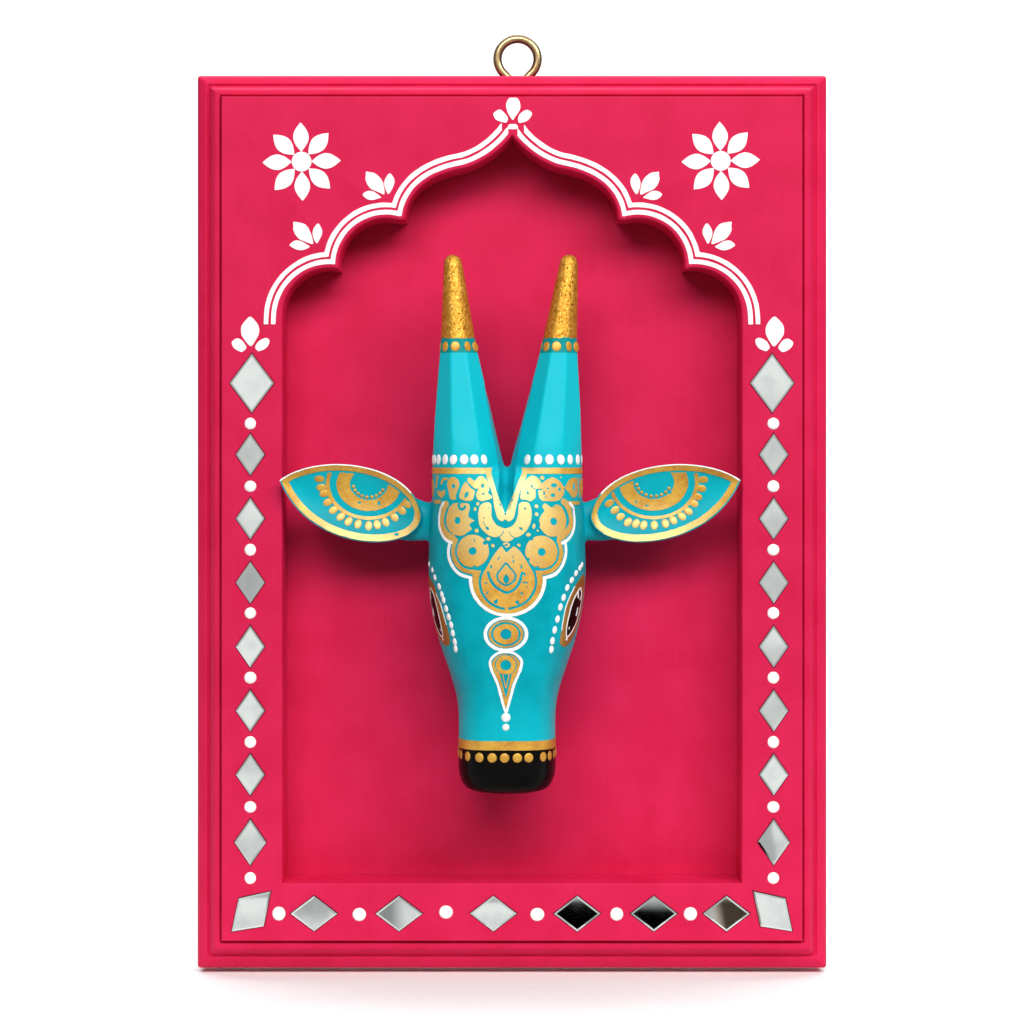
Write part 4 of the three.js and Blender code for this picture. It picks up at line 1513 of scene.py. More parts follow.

# %% [markdown]
# ## Turquoise, gold leaf and black on the carving
#
# Three paints cover the wood: turquoise nearly everywhere, gold leaf on the horn tips and gloss black
# on the muzzle. They meet in level lines, so the Object coordinate Z chooses between them, wavering a
# little as a hand does. The turquoise is made brighter up the horns and on the snout, as painted light.
# The leaf is creased and pitted, with brown bole showing through where it has worn, and the tops of its
# creases are paler as painted highlights, so its bump and colour share the same noises.

# %% Head paint
TEAL = colour(0, 169, 184)
TEAL_DEEP = colour(0, 155, 170)
TEAL_PALE = colour(16, 186, 200)
TEAL_PAINTED_LIGHT = colour(14, 197, 212)
TEAL_GREEN = colour(0, 146, 146)
LEAF_GOLD = colour(206, 150, 54)
LEAF_WORN = colour(148, 88, 24)
LEAF_PAINTED_HIGHLIGHT = colour(250, 214, 110)
GLOSS_BLACK = colour(14, 13, 12)
LEAF_BOTTOM_Z = 214.4
HORN_BAND_Z = 209.5
# Heights over which painted light makes the turquoise brighter, and how much: up the horns, and down to the
# gold band
PAINTED_LIGHT_PLACES = ((152.0, 178.0, 0.9), (100.0, 84.0, 0.6))
LEAF_WAVER = 0.35
MUZZLE_TOP_Z = 79.2


def row_z(layout_z):
    return (layout_z - NAIL[2]) * MM


def head_paint():
    mix = Finish("cow_head_paint")
    height = mix.axis("Z")
    strokes = mix.noise(0.6, detail=3, stretch=(1, 1, 16))
    mottle = mix.noise(7, detail=3)
    teal = mix.mix(mix.ramp(mottle, 0.35, 0.65), TEAL_DEEP, TEAL)
    teal = mix.mix(mix.ramp(strokes, 0.5, 0.8, 0, 0.2), teal, TEAL_PALE)
    # Painted light: brighter turquoise up the horns and on the snout
    horns, snout = (mix.ramp(height, row_z(start), row_z(end), 0, share)
                    for start, end, share in PAINTED_LIGHT_PLACES)
    teal = mix.mix(mix.math("ADD", horns, snout), teal, TEAL_PAINTED_LIGHT)
    banded = mix.math("GREATER_THAN", height, row_z(HORN_BAND_Z))
    teal = mix.mix(banded, teal, TEAL_GREEN)
    creases = mix.noise(0.9, detail=5, roughness=0.7, stretch=(1, 1, 1.5))
    pits = mix.ramp(mix.noise(0.9, detail=2), 0.30, 0.38)
    leaf = mix.mix(mix.ramp(creases, 0.33, 0.49), LEAF_WORN, LEAF_GOLD)
    # Painted highlights on the tops of the creases
    leaf = mix.mix(mix.ramp(creases, 0.55, 0.66, 0, 0.75), leaf, LEAF_PAINTED_HIGHLIGHT)
    leaf = mix.mix(pits, LEAF_WORN, leaf)
    waver = mix.ramp(mix.noise(2.2, detail=3), 0.3, 0.7, -LEAF_WAVER * MM, LEAF_WAVER * MM)
    leafed = mix.math("GREATER_THAN", mix.math("ADD", height, waver), row_z(LEAF_BOTTOM_Z))
    black = mix.math("LESS_THAN", height, row_z(MUZZLE_TOP_Z))
    paint = mix.mix(black, mix.mix(leafed, teal, leaf), GLOSS_BLACK)
    mix.set(Base_Color=paint, Metallic=mix.math("MULTIPLY", leafed, 0.6))
    rough = mix.ramp(mottle, 0.3, 0.7, 0.32, 0.44)
    rough = mix.math("SUBTRACT", rough, mix.math("MULTIPLY", black, 0.1))
    mix.set(Roughness=rough, Specular_IOR_Level=mix.ramp(black, 0, 1, 0.09, 0.04))
    relief = mix.bump(strokes, 0.02)
    leaf_height = mix.math("MULTIPLY", leafed, mix.math("ADD", creases, pits))
    mix.set(Normal=mix.bump(leaf_height, 0.24, relief))
    return mix.material


keep(head, head_paint(), "teal_paint", "cow_head")

# %% [markdown]
# ## Wrapping a flat drawing round the head
#
# The ornament was drawn round the head with a brush, so it is easiest to draw it unrolled: s is the way
# round from the front's middle and z the height, both in millimetres. A ray shot inwards at each point
# finds the wood. On the ears the drawing is flat, as seen from the front, and the rays run straight
# back.

# %% Laying paint on the head
WRAP_R = 27.0
WRAP_X = -1.9
RAY_START = 75.0
EAR_RAY_START_Y = -60


def shoot(skin, start, towards):
    """Where a ray in the layout meets a skin, and the way the skin faces there."""
    ray = Vector(towards).normalized()
    hit, out, *_ = skin.ray_cast(Vector(place(start)), ray)
    if hit is None:
        hit, out, *_ = skin.find_nearest(Vector(place(start)))
    return np.array(hit) / MM + NAIL, np.array(out)


def on_head(flat):
    """Points of the unrolled drawing, laid on the head."""
    hits = []
    for s, z in flat:
        x, y = math.sin(s / WRAP_R), -math.cos(s / WRAP_R)
        hits.append(shoot(bare_head, (WRAP_X + RAY_START * x, RAY_START * y, z), (-x, -y, 0)))
    return map(np.array, zip(*hits))


def on_ear(flat):
    """Points seen from the front, laid on the ears."""
    return map(np.array, zip(*(shoot(whole_head, (x, EAR_RAY_START_Y, z), (0, 1, 0)) for x, z in flat)))


whole_head = BVHTree.FromObject(head, bpy.context.evaluated_depsgraph_get())
(forehead,), _ = on_head([(0, 150)])
print("the forehead is", round(-forehead[1], 1), "mm in front of the frame's face")

# %% Gold paint
GOLD = colour(222, 168, 55)
GOLD_DEEP = colour(200, 134, 34)
GOLD_PALE = colour(240, 206, 106)
GOLD_PAINTED_SHADE = colour(134, 90, 30)
GOLD_CREAM = colour(246, 224, 150)
# A painted highlight in cream round this point of the forehead, full within the first distance and gone at
# the second
HIGHLIGHT_ROUND = (WRAP_X, 0, 158.0)
HIGHLIGHT_FROM = 7.0
HIGHLIGHT_TO = 25.0
HIGHLIGHT_WAVER = 2.0
# Painted shade, brown on the cheeks where the head turns away: the way out and the way down over which it
# comes in
CHEEK_SHADE_X = (12, 20)
CHEEK_SHADE_Z = (138.5, 133.5)
# Where the ears begin across, and the heights over which the lower ears turn cream: the drops' own paler
# gold and a painted highlight on the lower rim
EAR_FROM = 30.0
EAR_PALE_AND_HIGHLIGHT_Z = (161, 149)


def gold_paint():
    """Gold that is paler on the forehead as a painted highlight, browner at the cheeks as painted shade, and
    cream low on the ears, partly as a painted highlight.
    """
    mix = Finish("gold_paint")
    flakes = mix.noise(0.5, detail=4, roughness=0.65)
    cloud = mix.noise(5, detail=2)
    base = mix.mix(mix.ramp(cloud, 0.35, 0.65), GOLD_DEEP, GOLD)
    base = mix.mix(mix.ramp(flakes, 0.48, 0.72, 0, 0.7), base, GOLD_PALE)
    across, away = mix.away_from(HIGHLIGHT_ROUND)
    away = mix.math("ADD", away, mix.ramp(cloud, 0.3, 0.7, -HIGHLIGHT_WAVER * MM, HIGHLIGHT_WAVER * MM))
    # Painted highlight: cream round the middle of the forehead
    pale = mix.ramp(away, HIGHLIGHT_FROM * MM, HIGHLIGHT_TO * MM, 0.85, 0)
    sideways = mix.math("ABSOLUTE", across)
    # Painted shade: browner gold at the cheeks
    cheek_shade = mix.math("MULTIPLY", mix.ramp(sideways, CHEEK_SHADE_X[0] * MM, CHEEK_SHADE_X[1] * MM),
                     mix.ramp(mix.axis("Z"), row_z(CHEEK_SHADE_Z[0]), row_z(CHEEK_SHADE_Z[1])))
    base = mix.mix(mix.math("MULTIPLY", cheek_shade, 0.85), base, GOLD_PAINTED_SHADE)
    on_ears = mix.math("GREATER_THAN", sideways, EAR_FROM * MM)
    # Cream low on the ears: the drops' paler paint and a painted highlight on the lower rim
    ear_pale_and_highlight = mix.ramp(mix.axis("Z"), row_z(EAR_PALE_AND_HIGHLIGHT_Z[0]), row_z(EAR_PALE_AND_HIGHLIGHT_Z[1]), 0, 0.55)
    base = mix.mix(mix.math("MULTIPLY", on_ears, ear_pale_and_highlight), base, GOLD_CREAM)
    mix.set(Base_Color=mix.mix(pale, base, GOLD_CREAM), Metallic=0.2)
    mix.set(Roughness=mix.ramp(flakes, 0.3, 0.7, 0.3, 0.5), Normal=mix.bump(flakes, 0.05))
    return mix.material


gold = gold_paint()
print("mixed", gold.name)

# %% [markdown]
# ## Scroll work on the head
#
# The gold is one stencil. Bands, leaves and scrolls are added, and the turquoise lines in them are
# cut out, so the ground shows through as it does where a brush leaves a gap. The scroll work is a
# mirrored, traditional one; small differences left and right are the painter's hand.

# %% Bands and the V under the groove
BAND_LOW, BAND_HIGH = 169.1, 171.1
BAND_BACK = 61.0
V_OUTER = [
    (-8.1, 168.9), (-5.1, 163), (-4.1, 158.2), (-3, 154.7), (-1.5, 153.5), (-0.3, 154.2), (0.8, 153.5),
    (2.5, 154.7), (3.6, 158.9), (5.1, 163.7), (8.2, 168.9)]
V_INNER = [
    (7.5, 171), (4.6, 166.5), (3, 163), (1.2, 159.2), (-0.3, 156.2), (-1.9, 159.2), (-3.5, 163),
    (-4.8, 166.5), (-6.9, 171)]
head_gold = Stencil(-85.2, 74, 85.2, 173)
for back, low_end, high_end in ((-BAND_BACK, -7.8, -6.9), (BAND_BACK, 8.2, 7.5)):
    band = [(back, BAND_LOW), (low_end, BAND_LOW), (high_end, BAND_HIGH), (back, BAND_HIGH)]
    head_gold.add(patch(band))
head_gold.add(patch(np.vstack([curve(V_OUTER), curve(V_INNER)])))
head_gold.cut(disc(-0.3, 155.9, 0.45))
print("bands and V:", head_gold.painted())

# %% Row of scrolls under the bands
LEAF = [(-14.4, 166.5), (-15.1, 165.5), (-15.9, 163.6), (-16.3, 161.6), (-15.8, 160.7), (-14.1, 160.2),
        (-12.2, 160.4), (-11.5, 161.5), (-11.4, 163.1), (-11.8, 163.8), (-12.7, 164.3), (-13.4, 165.2)]
LEFT_SCROLL = [
    (-13.9, 167.4), (-13.4, 167.9), (-12.5, 167.2), (-11.8, 166.7), (-11.4, 167.2), (-10.6, 168.1),
    (-9.4, 168.3), (-8.4, 167.8), (-7.1, 166.7), (-6.4, 165.5), (-6.3, 163.9), (-6.6, 162.9),
    (-6.1, 162.3), (-5.2, 161.8), (-5.1, 161.2), (-6.4, 160.5), (-8.2, 160.1), (-9.6, 160.4),
    (-10.4, 161.1), (-10.7, 162.4), (-10.4, 163.4), (-10.1, 164.2), (-11.1, 164.2), (-12.1, 164.7),
    (-13.1, 165.7), (-13.9, 166.6)]
LEFT_LOOP = [
    (-18.9, 168.1), (-17.7, 167.8), (-16.7, 166.9), (-16.4, 165.5), (-16.7, 163.9), (-17.2, 162.7),
    (-17.6, 161.6), (-17.4, 160.9), (-18.1, 160.5), (-19.5, 160.8), (-20.1, 161.8), (-20.2, 163.2),
    (-20.8, 164.6), (-21, 166), (-20.3, 167.5)]
HOOK = [
    (7.8, 167.2), (9.1, 168.1), (10.1, 168.4), (11.3, 168.1), (12.1, 167.4), (12.7, 166.4), (12.6, 165.3),
    (12, 164.5), (11, 164.1), (10.5, 163.6), (10.4, 162.2), (10, 161), (8.9, 160.3), (7.5, 160.1),
    (5.9, 160.6), (5, 161), (5.1, 161.8), (5.4, 163.6), (6.2, 165.5)]
HOOK_CUT = [(9.7, 166.2), (9.1, 165.3), (9.4, 164.7), (10.2, 164.2), (11.3, 163.9), (12.6, 163.8)]
ROUND_SCROLL = [
    (16.6, 167.9), (17.8, 167.2), (19, 166), (20, 164.6), (20.1, 163.2), (19.7, 161.8),
    (18.5, 160.6), (17.2, 160.1), (15.7, 160), (14.1, 160.1), (12.7, 160.2), (11.8, 161),
    (11.5, 162.5), (11.7, 163.9), (12.5, 165.3), (13.5, 166.4), (14.8, 167.4), (15.8, 167.9)]
RIGHT_LOOP = [
    (25.5, 167.8), (27.1, 167.5), (27.3, 165.9), (27.6, 163.8), (27.1, 162.2), (25.1, 161.2), (23.5, 161.6),
    (22.1, 163), (20.6, 164.1), (20.1, 164.6), (21, 165.1), (21.7, 166.3), (23.2, 167.4)]
for outline in (LEAF, LEFT_SCROLL, LEFT_LOOP, HOOK, ROUND_SCROLL, RIGHT_LOOP):
    head_gold.add(smooth_patch(outline, steps=4))
head_gold.cut(oval(-14.0, 162.2, 0.55, 1.15, -0.35), disc(-8.7, 165.1, 0.65), oval(-8.2, 162.5, 0.6, 0.35))
head_gold.cut(disc(-18.4, 165.0, 0.75), stroke(curve(HOOK_CUT), np.linspace(0.25, 0.5, 31)))
head_gold.cut(disc(9.3, 165.0, 0.5), disc(7.7, 162.7, 0.5), stroke([(7.7, 164.2), (7.7, 163)], 0.25))
head_gold.cut(oval(16.5, 165.3, 0.95, 0.65), oval(18.3, 163.9, 0.45, 0.65), oval(16.1, 162.0, 0.75, 0.6))
head_gold.cut(disc(14.6, 164.3, 0.35), oval(13.4, 162.7, 0.28, 0.65), disc(13.8, 161.4, 0.25))
head_gold.cut(oval(25.0, 164.7, 0.65, 1.5))
SMALL_LEAF = [(-27.2, 163.6), (-24.1, 163.1), (-21.9, 163.9), (-22.3, 162.3), (-24.1, 160.9), (-26.3, 162.1)]
head_gold.add(patch(SMALL_LEAF))
head_gold.add(stroke(curve([(-21.4, 167.4), (-22.6, 167.4), (-23.7, 166.7), (-24, 165.9)]), 0.9))
head_gold.add(stroke([(-30.6, 159.7), (-25.3, 159.8)], 1.3), stroke([(22.6, 159.4), (29.5, 159.3)], 1.2))
head_gold.add(stroke([(29, 167.6), (29.3, 161.4)], 0.8), stroke([(-26.9, 168.1), (-27.6, 164.9)], 1.0))
print("with the row of scrolls:", head_gold.painted())

# %% Scrolls carried on round the sides
SIDE_SCROLLS_S = (32.8, 53.0, 60.0)
SIDE_SCROLLS_Z = 164.6
SIDE_SCROLL = [(-2.9, 0), (-1.9, 2.2), (0.4, 3), (2.5, 1.6), (2.6, -1.2), (0.6, -3.1), (-1.7, -2.3)]
for middle in SIDE_SCROLLS_S:
    for sign in (-1, 1):
        ring = [(sign * (middle + ds), SIDE_SCROLLS_Z + dz) for ds, dz in SIDE_SCROLL]
        hole = oval(sign * (middle + 0.2), SIDE_SCROLLS_Z + 0.2, 0.8, 1.1)
        head_gold.add(smooth_patch(ring, steps=4)).cut(hole)
print("with the sides:", head_gold.painted())

# %% Discs
LEFT_DISC = [
    (-21.8, 153.7), (-21.5, 155.8), (-20.6, 157.9), (-18.7, 159.2), (-16.8, 159.6), (-16.4, 159.3),
    (-15.8, 159.3), (-15.1, 159.5), (-13, 159.2), (-12.6, 157.8), (-12.9, 156.2), (-13, 155),
    (-12.1, 154.3), (-10.5, 153.7), (-11.9, 153), (-12.5, 152.2), (-11.4, 150.9), (-12.7, 150),
    (-14, 148.9), (-15.5, 148.6), (-18, 149), (-19.9, 150.3), (-21.1, 151.9)]
LEFT_NOTCH = [(-16.5, 159), (-16.6, 158.1), (-15.9, 157.4), (-14.9, 157.5), (-14.4, 158.2)]
RIGHT_DISC = [
    (12.5, 158.5), (13.3, 159.4), (14.2, 159), (15.3, 158.1), (16.1, 157.9), (16.9, 158.9), (17.9, 158.9),
    (19.1, 158.3), (20.1, 157.2), (20.9, 156), (21.3, 154.1), (20.9, 152), (20, 150.2), (18.3, 149),
    (16.4, 148.5), (15.1, 148.3), (13.6, 148.8), (12.6, 149.5), (11.8, 150.5), (11.1, 151.5), (11.4, 152.4),
    (11, 153.7), (11.3, 154.6), (12, 155.7), (12.9, 156.6), (13.1, 157.3), (12.6, 157.8)]
LEFT_BAND = [
    (-21.7, 159.1), (-23.3, 157.2), (-24, 155.2), (-24, 153.2), (-23.2, 151.4), (-21.5, 149.5),
    (-19.6, 148.3), (-18.2, 147.8)]
RIGHT_BAND = [
    (20, 159.9), (21.4, 158.9), (23, 157), (23.7, 155.2), (23.7, 152.8), (22.2, 150.6), (19.9, 148.9),
    (18, 147.9)]
head_gold.add(stroke(curve(LEFT_BAND), 2.1), stroke(curve(RIGHT_BAND), 2.1))
for outline in (LEFT_DISC, RIGHT_DISC):
    head_gold.cut(patch(offset(curve(outline, closed=True, steps=2)[::-1], 0.6))).add(patch(outline))
head_gold.cut(stroke(curve(LEFT_NOTCH), 0.95), disc(-16.8, 153.7, 1.2), disc(16.1, 153.4, 1.25))
# Middle across and up, and the degrees from where to where a band runs round it
LOWER_DISCS = ((-11.0, 143.7, 150, 276), (11.5, 143.4, 30, -96))
for x, z, start, end in LOWER_DISCS:
    head_gold.add(stroke(arc((x, z), 6.85, math.radians(start), math.radians(end), 30), 1.4))
    head_gold.add(disc(x, z, 5.35)).cut(disc(x, z, 1.3))
for x, z, r in ((-10.3, 138.4, 0.65), (10.0, 138.3, 0.55), (7.0, 140.9, 0.7), (8.3, 147.8, 0.65),
                (-7.0, 146.4, 0.7)):
    head_gold.cut(disc(x, z, r))
head_gold.cut(stroke([(-10.6, 147.6), (-10.3, 146.7)], 0.35))
print("with the discs:", head_gold.painted())

# %% Collar and its beads
COLLAR = [
    (-9.3, 157.6), (-9, 158.6), (-7.8, 159.5), (-6.3, 159.7), (-5.3, 159), (-5.1, 157), (-5, 155.2),
    (-4.3, 153.7), (-3.1, 152.3), (-1.3, 151.4), (-0.2, 151.2), (1.7, 151.8), (3, 153), (3.7, 154.5),
    (4.2, 156.5), (4.3, 158.5), (4.6, 159.3), (5.5, 159.8), (7, 159.8), (7.9, 159.2), (8.5, 157.8),
    (8.6, 155.9), (8.2, 153.3), (7.2, 151.2), (5.8, 149.5), (4.2, 148.5), (2.9, 148.1), (1.6, 147.2),
    (0.2, 146.8), (-1.4, 147.2), (-2.4, 148.5), (-3.7, 148.3), (-5.6, 148.8), (-7.4, 150.2), (-8.7, 151.8),
    (-9.3, 153.8), (-9.5, 156)]
head_gold.cut(smooth_patch(offset(np.array(COLLAR), 0.75), steps=2)).add(smooth_patch(COLLAR, steps=4))
head_gold.cut(stroke(curve([(-0.9, 150.2), (-1.4, 149.2), (-2.4, 148.3)]), 0.35))
head_gold.cut(stroke(curve([(0.9, 150), (1.7, 148.8), (2.9, 147.9)]), 0.35))
head_gold.cut(disc(6.5, 157.7, 0.42), disc(-6.1, 157.9, 0.22), oval(-6.3, 151.2, 0.75, 0.45, -0.7))
head_gold.cut(oval(4.9, 151.1, 0.75, 0.4, -0.6), disc(-7.6, 154.6, 0.25))
head_gold.cut(stroke([(-7.7, 153.4), (-7, 152)], 0.22))
for bead in (oval(-9.9, 159.2, 0.45, 0.6), oval(-10.7, 157.5, 0.4, 0.6), disc(-9.8, 150.4, 0.65),
             oval(-5.9, 147.7, 0.7, 0.6), disc(-4.4, 145.5, 0.6), oval(0.0, 145.7, 1.2, 0.85),
             disc(4.1, 145.6, 0.6), disc(10.4, 158.4, 0.6), disc(10.3, 155.8, 0.6),
             oval(9.2, 151.9, 0.5, 0.95, -0.2), disc(10.4, 150.4, 0.35), oval(7.3, 149.1, 0.75, 0.6),
             disc(13.2, 167.8, 0.6), disc(18.9, 167.9, 0.3)):
    head_gold.add(bead)
head_gold.cut(oval(0.0, 145.7, 0.6, 0.35))
print("with the collar:", head_gold.painted())

# %% Middle drop
DROP_ROUND = (0.4, 134.5)
DROP_ROUND_R = 11.2
DROP = [
    (-1.7, 145.2), (-3.7, 142.9), (-6, 138.9), (-7.6, 136.1), (-8, 133.1), (-7.1, 129.7), (-4.9, 127),
    (-2.2, 125.6), (0.4, 125.2), (3.6, 126), (6.5, 127.8), (8.5, 130.8), (9.1, 133.8), (8.6, 136.8),
    (6.8, 139.9), (4.9, 143.2), (2.7, 145.2), (1.3, 144.3), (0.1, 143.3), (-0.8, 144.3)]
DROP_LINE = [
    (-5.8, 136.6), (-5.2, 134.6), (-3.7, 132.3), (-1.5, 130.8), (0.4, 130.1), (2.7, 131.3), (4.2, 133.4),
    (5.1, 136.6)]
INNER_DROP = [
    (-0.1, 139.7), (-1.5, 138.1), (-2.8, 136.3), (-2.8, 134.7), (-1.8, 133.3), (0, 132.5), (1.8, 133.3),
    (2.9, 134.7), (2.8, 136.4), (1.4, 138.1)]
# Dashes: middle across and up, length, width, lean from the vertical
DASHES = [
    (-2.5, 141.3, 1.6, 0.45, -0.45), (2.1, 141.8, 1.1, 0.35, 0.4), (2.4, 140.3, 1.2, 0.6, 0.1),
    (-4.9, 138.6, 1.3, 0.7, -0.2), (-5.7, 136.1, 1.2, 0.7, 0.1), (4.9, 138.6, 1.5, 0.6, 0),
    (5.9, 136.2, 1.4, 0.7, 0.5), (6.1, 133.4, 2, 0.6, 1.4), (-6.5, 133.2, 1.3, 0.6, 1.3),
    (-6.1, 130, 1.6, 0.55, -0.6), (-3.3, 127.3, 1.7, 1, -0.9), (3.5, 126.8, 1.7, 0.9, 0.9),
    (4.9, 129.8, 0.9, 0.9, 0), (6.4, 132.1, 0.6, 0.4, 0)]
ROUND_TOP_Z = 137.3


def round_bottom():
    """The big round that the drop lies in, without its top."""
    low, high, distance = disc(*DROP_ROUND, DROP_ROUND_R)
    return low, high, lambda u, v: np.maximum(distance(u, v), v - ROUND_TOP_Z)


drop_edge = curve(DROP, closed=True, steps=4)[::-1]
keep_away = [disc(x, z, 6.15) for x, z, *_ in LOWER_DISCS]
head_gold.add(cut_by(round_bottom(), *keep_away)).cut(patch(offset(drop_edge, 0.8))).add(patch(drop_edge))
head_gold.cut(stroke(curve(DROP_LINE), 0.9)).add(stroke([(0.1, 124), (0.1, 126)], 1.1))
inner_drop = smooth_patch(INNER_DROP)
head_gold.cut(ring_of(inner_drop, 0.65), smooth_patch([(0, 136.2), (-1, 134.4), (0, 132.9), (1, 134.4)]))
for x, z, length, width, lean in DASHES:
    head_gold.cut(oval(x, z, width / 2, length / 2, lean))
for x in (-3.3, 3.5):
    head_gold.cut(disc(x, 127.0, 0.6))
print("with the drop:", head_gold.painted())

# %% Ring and pendant under the drop
RING_AT = (-0.1, 116.5)
PENDANT = [
    (-0.1, 109.9), (-2.9, 109.1), (-4.4, 107), (-4, 104.9), (-2.9, 102.3), (-2, 100), (-1.3, 97.4),
    (-0.6, 94), (-0.1, 92.2), (0.4, 94), (1.1, 97.4), (1.8, 100), (2.7, 102.3), (3.8, 104.9), (4.2, 107),
    (2.7, 109.1)]
head_gold.add(oval(*RING_AT, 5.4, 4.5)).cut(ring_of(oval(*RING_AT, 4.3, 3.65), 0.7), disc(*RING_AT, 1.75))
head_gold.add(smooth_patch(PENDANT))
head_gold.cut(disc(-0.1, 106.4, 1.7), ring_of(disc(-0.1, 106.4, 3.3), 0.3))
head_gold.cut(patch([(-2, 103.4), (-0.1, 95.6), (1.8, 103.4)]))
head_gold.add(stroke([(-1.1, 103.2), (-0.1, 98.8), (0.9, 103.2)], 0.3))
print("with the pendant:", head_gold.painted())

# %% Round the eyes and the muzzle
# Gold round each eye, and the black inside it
EYE_ROUND = {
    "left": [(-20, 113), (-20, 115.4), (-20.4, 117.3), (-21.1, 119.3), (-22.1, 121.9), (-23.3, 124.5),
             (-24.6, 127.1), (-26.8, 130), (-29.3, 132.4), (-34.9, 134.3), (-37.8, 133.2), (-39.2, 130),
             (-38.8, 125.5), (-37.2, 121), (-34.5, 117), (-30, 114.2), (-25.8, 112.6), (-22, 112)],
    "right": [(18.2, 112.9), (18.1, 114.8), (18.6, 117.5), (18.8, 119.4), (19.3, 122.1), (20, 124.7),
              (21.2, 127.3), (22.7, 129.5), (24.6, 131.6), (27.1, 133.3), (29.7, 134.7), (33.4, 135.2),
              (35, 132.5), (34.6, 128), (33.2, 123), (30.8, 118.5), (27.5, 115.3), (24, 112.8),
              (20.6, 111.8)],
}
EYE_BLACK = {
    "left": [(-24.4, 115.3), (-24.3, 116.4), (-24.7, 118.4), (-25.4, 121.1), (-26.2, 123.7), (-27.4, 126.3),
             (-29.2, 128.9), (-33, 130.6), (-35.6, 130), (-36.2, 127.6), (-35.6, 124), (-33.6, 120.6),
             (-31.3, 118.3), (-28.6, 116.3), (-25.8, 114.9)],
    "right": [(21.2, 115.2), (20.8, 117.3), (21, 119.3), (21.5, 121.3), (22.1, 123.3), (22.7, 124.9),
              (23.7, 126.8), (25, 128.4), (27.3, 130.3), (29.3, 130.9), (30.8, 129.4), (30.9, 126.8),
              (30.2, 124.4), (29.2, 122), (28.2, 120.2), (26.9, 118.6), (25, 117), (22.8, 115.4)],
}
# The band above the muzzle runs all the way round, and sags a little towards the sides
MUZZLE_BAND = (78.4, 81.4)
BAND_SAG = 0.9
BAND_POINTS = 41
ROUND_BACK = 84.6
for outline in EYE_ROUND.values():
    head_gold.add(smooth_patch(outline, steps=4))
band_s = np.linspace(-ROUND_BACK, ROUND_BACK, BAND_POINTS)
band_sag = BAND_SAG * np.sin(np.minimum(np.abs(band_s) / WRAP_R, math.pi / 2)) ** 2
low_edge, high_edge = (np.stack([band_s, z - band_sag], 1) for z in MUZZLE_BAND)
head_gold.add(patch(np.vstack([low_edge, high_edge[::-1]])))
head_gold.waver(1.6, 0.03, seed=5)
print("all the gold on the head:", head_gold.painted())
keep(paint_skin("head_gold_ornament", head_gold, on_head, spacing=0.75), gold, "teal_paint")

# %% [markdown]
# ## White lines on the head
#
# A white line follows the outside of the gold. It is a second stencil, lifted a little more, because it
# was painted later. The black of the eyes is a third, and the glints in it are a fourth. All of them
# wrap round the head the same way.

# %% White lines
SCALLOPS = [
    [(-23, 159.5), (-25.6, 157), (-25.9, 154.2), (-25, 151.2), (-23, 148.7), (-21, 147.2),
     (-18.7, 146.3)],
    [(-19.3, 146.6), (-19.8, 143.2), (-19, 140.2), (-17, 137.5), (-14.7, 135.8), (-11.7, 135)],
    [(22.8, 159.4), (25.4, 157.3), (25.9, 154.4), (25.3, 151.7), (23.7, 149.2), (21.4, 147.3),
     (18.9, 146.2)],
    [(20.1, 146.6), (20.3, 143.4), (19.4, 140.2), (17.5, 137.4), (15, 135.6), (12.2, 134.9)],
]
WHITE_DROP = [
    (-0.1, 110.7), (-2.8, 110.1), (-4.9, 107.9), (-4.6, 105), (-3.5, 102.3), (-2.5, 99.7), (-1.8, 97),
    (-0.9, 93.4), (-0.1, 91), (0.7, 93.4), (1.6, 97), (2.3, 99.7), (3.3, 102.3), (4.4, 105), (4.7, 107.9),
    (2.6, 110.1)]
WHITE_ROUND_R = 11.8
head_white = Stencil(-46, 88, 46, 162)
for scallop in SCALLOPS:
    head_white.add(stroke(curve(scallop), 1.0))
head_white.add(stroke(arc(DROP_ROUND, WHITE_ROUND_R, math.radians(178), math.radians(362), 40), 1.1))
head_white.add(ring_of(oval(*RING_AT, 6.4, 5.3), 1.05), ring_of(smooth_patch(WHITE_DROP), 0.8))
EYE_TIPS = ((-24.9, 114), (21.5, 114.3))
EYE_LINES = ([(-26.9, 129.3), (-24.1, 126.1), (-22.4, 122.6), (-21, 119)], EYE_ROUND["right"][2:9])
for outline in EYE_BLACK.values():
    head_white.add(ring_of(smooth_patch(outline, steps=4), 0.55))
for tip, line in zip(EYE_TIPS, EYE_LINES):
    head_white.add(disc(*tip, 0.55), stroke(curve(line), 0.28))
head_white.waver(1.6, 0.03, seed=6)
keep(paint_skin("head_white_lines", head_white, on_head, lift=0.05), white, "teal_paint")

# %% Black of the eyes
EYE_BLACKEST = colour(6, 4, 4)
EYE_BROWNEST = colour(22, 12, 9)


def gloss_black():
    mix = Finish("gloss_black")
    brushed = mix.noise(1.5, detail=3)
    mix.set(Base_Color=mix.mix(brushed, EYE_BLACKEST, EYE_BROWNEST))
    mix.set(Roughness=mix.ramp(brushed, 0.3, 0.7, 0.3, 0.42), Specular_IOR_Level=0.05)
    mix.set(Normal=mix.bump(brushed, 0.03))
    return mix.material


eyes = Stencil(-44, 108, 44, 137)
for outline in EYE_BLACK.values():
    eyes.add(smooth_patch(outline, steps=4))
keep(paint_skin("eyes_black", eyes, on_head, lift=0.02), gloss_black(), "teal_paint")

